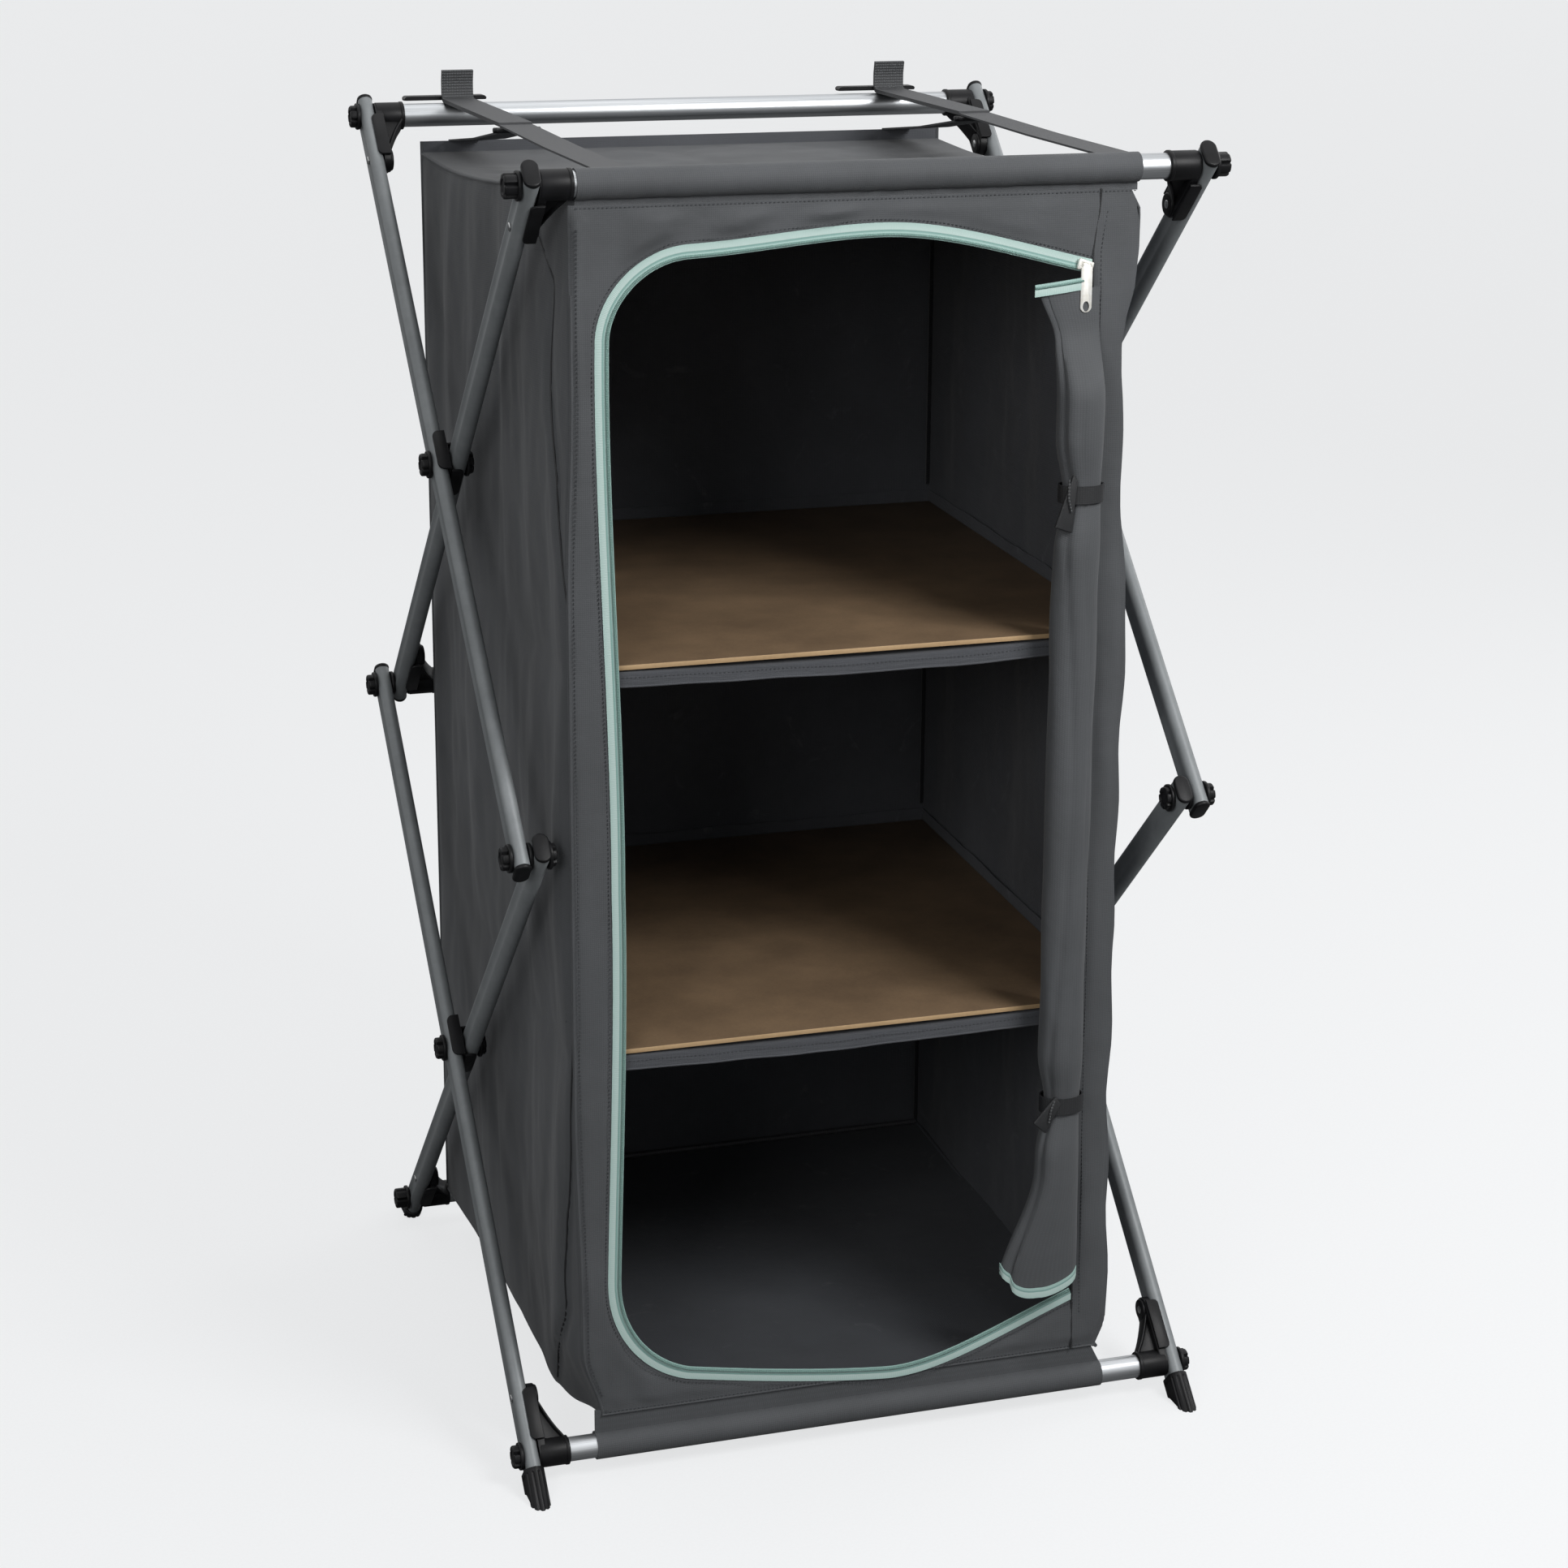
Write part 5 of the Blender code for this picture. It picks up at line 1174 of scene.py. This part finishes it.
# Bound seams inside the cupboard, up its rear corners and round the floor
binding = {"width": 0.0075, "stand": 0.0042, "thick": 0.0012, "runs": ((0.055, 0.360), (0.386, 0.672), (0.702, 1.000))}
for (word, side), x in zip(sides, (cloth["left"], cloth["backRight"])):
    x, y = x - side * binding["stand"], cloth["backY"] - binding["stand"]
    for i, (low, high) in enumerate(binding["runs"]):
        path = [(x, y, low + (high - low) * t) for t in span]
        strip = addBand(f"binding_{word}_{i}", path, (1, side, 0), binding["width"], binding["thick"], 0.008)
        hang(strip, "webbing")
sewnY = cloth["backY"] - 0.005
for name, path, radius, look in (
    ("rear", [(x, sewnY, cloth["floorZ"] + 0.004) for x in (cloth["left"] + 0.004, cloth["backRight"] - 0.004)], 0.0024,
     "webbing"),
    ("right", [(wallX(1, y) - 0.0020, y, cloth["floorZ"] + 0.0016) for y in (sewnY, shelf["front"])], 0.0016,
     "clothInside"),
):
    dress(addCord("floor_seam_" + name, path, radius), "cupboard_body", look)

# The zip, its slider and puller
tape = addBand("zip_tape_cloth", zipPoints, zipTurn, tapeWidth, zipper["tapeThick"], 0.005)
hang(tape, "tape", ["zip_tape"])
coilPath = [Vector((x, tapeY - 0.0008, z)) + turn * 0.0036 for x, z, turn in zipTurns]
hang(addCord("zip_coil", coilPath, zipper["coil"], 8, 0.004), "coil")

slider = addBlock("slider_body", (-0.0065, -0.0016, -0.0045), (0.0065, 0.0016, 0.0045), 0.0011, 3)
pick(slider, "VERT", lambda middle, facing: middle.x > 0)
bpy.ops.transform.resize(value=(1, 1, 0.78))
sunk(slider, along("Y", -1), (0.0012, 0), (0.0006, -0.0006))
crown = addBlock("slider_crown", (-0.0030, -0.0030, -0.0016), (0.0036, -0.0010, 0.0016), 0.0009, 3)
slider = smoothed(joined("slider_body", slider, crown))
slider.data.transform(Matrix.Translation(zipper["slider"]) @ Matrix.Rotation(radians(zipper["sliderTilt"]), 4, "Y"))
dress(slider, "zip_slider_body", "zinc", ["zip_slider"])

half, thick, long = zipper["pullerWidth"] / 2, zipper["pullerThick"], zipper["pullerLength"]
puller = addRod("puller_plate", half, -thick / 2, thick / 2, "Y", 40)
pulled(puller, lambda middle, facing: middle.z < -1e-6, (0, 0, -(long - zipper["pullerWidth"])))
bevelled(puller, "FACE", along("Y"), 0.0004, 2)
eye = addRod("puller_eye", 0.0027, -0.01, 0.01, "Y", 28)
shape(eye, lambda co: Vector((co.x, co.y, co.z * 1.5 - long + 2 * half)))
applied(puller, "BOOLEAN", object=eye, solver="EXACT")
discard(eye)
shifted(puller, zipper["slider"][0], zipper["pullerY"], zipper["slider"][2] + thick / 2 - half)
dress(smoothed(puller), "zip_puller_body", "zinc", ["zip_puller"])
print("zip is ready")

# The rolled door and its ties. Heights are over the bottom tubes' axis.
roll = {"right": 0.185, "width": 0.042, "flare": 0.082, "deep": 0.030, "topDeep": 0.0060, "footDeep": 0.024,
        "backY": -0.2704, "bottom": 0.092, "flareStart": 0.208, "taperStart": 0.853, "taperEnd": 0.908,
        "top": 0.938, "ties": (0.778, 0.263), "pinch": 0.80, "pinchReach": 0.045, "gatherReach": 0.07,
        "turns": 5.0, "fan": 0.015}


def nearTie(height, reach):
    return max(0.0, 1 - min(abs(height - tie) for tie in roll["ties"]) / reach)


def rollSize(height):
    taper = smooth((height - roll["taperStart"]) / (roll["taperEnd"] - roll["taperStart"]))
    flare = smooth((roll["flareStart"] - height) / (roll["flareStart"] - roll["bottom"]))
    fan = roll["fan"] * smooth((height - roll["taperEnd"] + 0.01) / 0.04)
    width = roll["width"] + (roll["flare"] - roll["width"]) * flare + fan
    deep = roll["deep"] + (roll["topDeep"] - roll["deep"]) * taper + (roll["footDeep"] - roll["deep"]) * flare
    pinch = 1 - (1 - roll["pinch"]) * smooth(nearTie(height, roll["pinchReach"]))
    right = roll["right"] + 0.006 * flare
    return right - width * pinch / 2, roll["backY"] - deep * pinch / 2, width * pinch, deep * pinch


def rollPoint(u, v):
    angle = 2 * pi * roll["turns"] * u + 0.9
    low = roll["bottom"] + 0.022 * max(0.0, -cos(angle)) ** 3 + 0.012 * max(0.0, cos(angle)) ** 2 + 0.016 * (1 - u)
    height = low + (roll["top"] - 0.008 * (1 - u) - low) * v
    x, y, width, deep = rollSize(height)
    near = nearTie(height, roll["gatherReach"])
    gather = 0.035 * near * sin(angle * 5 + height * 30)
    spread = 0.24 + 0.70 * u ** 0.85
    lay = crumple((cos(angle) * 0.014, sin(angle) * 0.014, height * 0.16), 0.013, 2.0)
    inTurn = (angle + 0.5 * sin(height * 9)) % (2 * pi)
    crease = 0.20 * max(0.0, 1 - abs(inTurn - 4.15) / 0.32) ** 2 + 0.10 * max(0.0, 1 - abs(inTurn - 5.0) / 0.22) ** 2
    reach = min(1.0, spread + 0.10 * lay * (1 - 0.5 * near) * u + gather * u) - crease * u ** 3
    return Vector((x + width / 2 * reach * cos(angle), y + deep / 2 * reach * sin(angle), place["lowZ"] + height))


rolled = addSheet("rolled_door_cloth", rollPoint, 190, 130, (0.40, 0.84), 0.0006)
hang(rolled, nodes=["rolled_door"])
# the door's own half of the zip shows at its lower edge and as a stub at its upper one
lowHem = [rollPoint(1 - t * 0.70 / roll["turns"], 0.0) + Vector((0, -0.0009, 0.003)) for t in span]
tenths = [i / 10 for i in range(11)]
stubPath = [(0.127 + 0.040 * t, -0.2768 - 0.0008 * sin(pi * t), 0.9625 + 0.0045 * t) for t in tenths]
for name, path, width in (("hem", lowHem, 0.009), ("stub", stubPath, 0.0095)):
    strip = addBand(f"door_{name}_tape", path, (0, 0, 1), width, zipper["tapeThick"], 0.004)
    hang(strip, "tape")
stubLine = [(x, y - 0.0007, z + 0.0022) for x, y, z in stubPath]
hang(addCord("door_stub_coil", stubLine, zipper["coil"] * 0.8, 8, 0.004), "coil")

tie = {"width": 0.014, "thick": 0.0012, "tab": (0.0150, 0.0030), "stand": 0.0012, "gap": 0.0014, "cord": 0.0008,
       # lean in degrees, length and drop of each toggle
       "upper": (5, 0.042, 0.006), "lower": (28, 0.028, 0.004)}
wide, thin = tie["tab"]
for word, height in zip(("upper", "lower"), roll["ties"]):
    lean, long, drop = tie[word]
    x, y, width, deep = rollSize(height)
    reachX, reachY = width / 2 + tie["gap"], deep / 2 + tie["gap"]
    ring = [(x + reachX * cos(angle), y + reachY * sin(angle), place["lowZ"] + height)
            for angle in (2 * pi * i / 48 + 0.3 for i in range(49))]
    band = addBand(word + "_tie_band", ring, (0, 0, 1), tie["width"], tie["thick"], 0.003)
    hang(band, "tie", [word + "_door_tie"])
    tab = addBlock(word + "_tie_toggle", (-wide / 2, -thin, -long / 2), (wide / 2, 0, long / 2), 0.0011, 3)
    shape(tab, lambda co: Vector((co.x + 0.25 * (co.z + long / 2) * (co.x < 0), co.y, co.z - 0.25 * co.x)))
    at = (x - 0.42 * width - wide / 2 + 0.004, y - 0.42 * deep - tie["stand"], place["lowZ"] + height - drop)
    stand = Matrix.Translation(at) @ Matrix.Rotation(radians(lean), 4, "Y")
    tab.data.transform(stand)
    hang(smoothed(tab), "tie")
    pull = ((0.000, -thin, long / 2 - 0.001), (0.0008, -thin - 0.0012, 0.004), (0.0045, -thin - 0.001, -0.006))
    cord = addCord(word + "_tie_cord", [stand @ Vector(point) for point in pull], tie["cord"], 8, 0.002)
    hang(cord, "loopWebbing")
print("door is ready")

# Straps over the top, with their glides, tabs and hook plates
strap = {"width": 0.028, "thick": 0.0016, "centres": (-0.203, 0.200), "seamY": 0.050, "z": 1.0651, "bend": 0.004,
         "loop": 0.026, "plate": (0.074, 0.012, 0.0036), "offset": -0.010, "corner": 0.0030, "glide": (0.040, 0.0030),
         "tabEnd": (0.2475, 1.0335), "onSleeve": 0.75, "sewn": 0.19}
seamY, flatZ, bend, rearY = strap["seamY"], strap["z"], strap["bend"], place["rearY"]
radius = cloth["sleeveRadius"] + 0.0008
frontY, frontZ = place["frontY"] + radius * cos(strap["onSleeve"]), place["topZ"] + radius * sin(strap["onSleeve"])
endY, endZ = strap["tabEnd"]
rear, reach = flatZ + strap["thick"] / 2, seamY + strap["sewn"]
frontPath = ((frontY, frontZ), ((frontY + seamY) / 2, (frontZ + flatZ) / 2 - 0.001), (seamY, flatZ))
tabPath = ((seamY + 0.002, flatZ - 0.0056), ((seamY + endY) / 2, (flatZ + endZ) / 2 - 0.0045), (endY, endZ))
loopPath = ((reach, rear), (rearY - 0.5 * bend, rear), (rearY + 0.8 * bend, rear + 0.5 * bend),
            (rearY + bend, rear + 1.6 * bend), (rearY + bend, rear + 0.6 * strap["loop"]),
            (rearY + 0.4 * bend, rear + strap["loop"]))


def addStrap(name, x, path, layers, step, body, look, nodes=()):
    line = [(x, y, z) for y, z in path]
    band = addBand(name, line, (1, 0, 0), strap["width"], layers * strap["thick"], step)
    dress(band, body, look, nodes)


for (word, _), x in zip(sides, strap["centres"]):
    addStrap(word + "_front_strap_band", x, frontPath, 1, 0.005, "top_cover", "webbing")
    long, thick = strap["glide"]
    lift = flatZ - strap["thick"] / 2 - thick * 0.8 - 0.0002
    rod = addRod("glide", thick, x - long / 2, x + long / 2, "X", 24, 0.0010)
    shape(rod, lambda co: Vector((co.x, co.y + seamY - 0.004, co.z * 0.8 + lift)))
    rail = addBlock("glide_bar", (x - long / 2 + 0.002, seamY - 0.013, flatZ - 0.0042),
                    (x + long / 2 - 0.002, seamY - 0.009, flatZ - 0.0012), 0.0008)
    dress(smoothed(joined(word + "_strap_glide", rod, rail)), "top_cover", "plastic")
    addStrap(word + "_strap_tab", x, tabPath, 1, 0.005, "top_cover", "loopWebbing")
    flatPath = ((seamY + 0.0006, rear), (reach, rear))
    addStrap(word + "_rear_strap_band", x, flatPath, 2, 0.004, word + "_strap", "webbing", [word + "_rear_strap"])
    addStrap(word + "_pull_loop", x, loopPath, 2, 0.002, word + "_strap", "loopWebbing")
    long, deep, thin = strap["plate"]
    left, near = x + strap["offset"] - long / 2, rearY + bend + strap["thick"] + place["seat"]
    low = place["topZ"] + place["tubeRadius"] + place["seat"] + strap["thick"]
    plate = addBlock(word + "_hook_plate", (left, near, low), (left + long, near + deep, low + thin))
    bevelled(plate, "EDGE", lambda middle, facing: abs(facing.y) > 0.99 and middle.z > low + 1e-4, strap["corner"])
    bevelled(plate, "EDGE", along("Z"), strap["corner"])
    dress(smoothed(plate), word + "_strap", "plastic", [word + "_strap_hook"])
print("straps are ready")

# Room, camera and lamps
room = {"reach": 40.0, "glow": 0.80, "sky": 0.86, "light": 0.24, "mirrored": 0.99}
ends = (-room["reach"], room["reach"])
uvs = [[(x, y) for y in ends] for x in ends]
backdrop = gridMesh("paleBackdrop", [[Vector((x, y, 0.0)) for x, y in row] for row in uvs], uvs)
material, tree, shader, paper = startMaterial("paleFloor", 0.95)
speckle = addNode(tree, "TexNoise", {"Vector": paper}, {"Scale": 400.0, "Detail": 2.0})
mixColours(tree, shader, speckle.outputs["Fac"], ("#707172", "#757677"), (0.3, 0.7))
seen = addNode(tree, "LightPath").outputs["Is Camera Ray"]
addNode(tree, "Math", {0: seen}, {1: room["glow"]}, shader.inputs["Emission Strength"], operation="MULTIPLY")
shader.inputs["Emission Color"].default_value = linearColour("#f4f5f6")
backdrop.data.materials.append(material)
backdrop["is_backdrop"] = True

view = {"place": (-0.83739, -2.63774, 1.3382), "lens": 75.86, "pitch": -16.9106, "roll": 0.3742, "yaw": -17.9302}
pitch, yaw, lean = (radians(view[key]) for key in ("pitch", "yaw", "roll"))
ahead = Vector((-sin(yaw) * cos(pitch), cos(yaw) * cos(pitch), sin(pitch)))
level = Vector((cos(yaw), sin(yaw), 0))
upright = level.cross(ahead)
camera = bpy.data.cameras.new("photoView")
camera.lens, camera.sensor_width, camera.clip_end = view["lens"], 36.0, 50.0
holder = placed("photoView", camera)
turn = Matrix((level * cos(lean) + upright * sin(lean), upright * cos(lean) - level * sin(lean), -ahead))
holder.matrix_world = Matrix.Translation(view["place"]) @ turn.transposed().to_4x4()
bpy.context.scene.camera = holder

lamps = {
    # place, aim, size and watts
    "frontSoftbox": ((0.9, -1.7, 2.05), (0.0, -0.1, 0.6), 0.9, 40.0),
    "topSoftbox": ((0.1, 0.5, 3.3), (0.0, 0.3, 0.0), 2.4, 14.0),
    "leftFill": ((-1.9, -2.5, 1.75), (0.0, 0.0, 0.75), 1.2, 25.0),
    "rightRim": ((2.6, 0.9, 1.8), (0.2, 0.0, 0.5), 1.4, 18.0),
}
for name, (spot, target, size, power) in lamps.items():
    lamp = bpy.data.lights.new(name, "AREA")
    lamp.shape, lamp.size, lamp.energy = "SQUARE", size, power
    aim = Vector(target) - Vector(spot)
    placed(name, lamp).matrix_world = Matrix.Translation(spot) @ aim.to_track_quat("-Z", "Y").to_matrix().to_4x4()
world = bpy.data.worlds.new("softRoom")
world.use_nodes = True
tree = world.node_tree
sky = tree.nodes["Background"].inputs
sky["Color"].default_value = linearColour("#f2f3f4")
rays = addNode(tree, "LightPath").outputs
base = room["light"]
mirrored = addNode(tree, "Math", {0: rays["Is Glossy Ray"]}, {1: room["mirrored"] - base, 2: base},
                   operation="MULTIPLY_ADD")
addNode(tree, "Math", {0: rays["Is Camera Ray"], 2: mirrored.outputs[0]}, {1: room["sky"] - base}, sky["Strength"],
        operation="MULTIPLY_ADD")
bpy.context.scene.world = world
bpy.context.scene.view_settings.view_transform = "Standard"
print("camera and lamps are ready")

low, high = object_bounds()
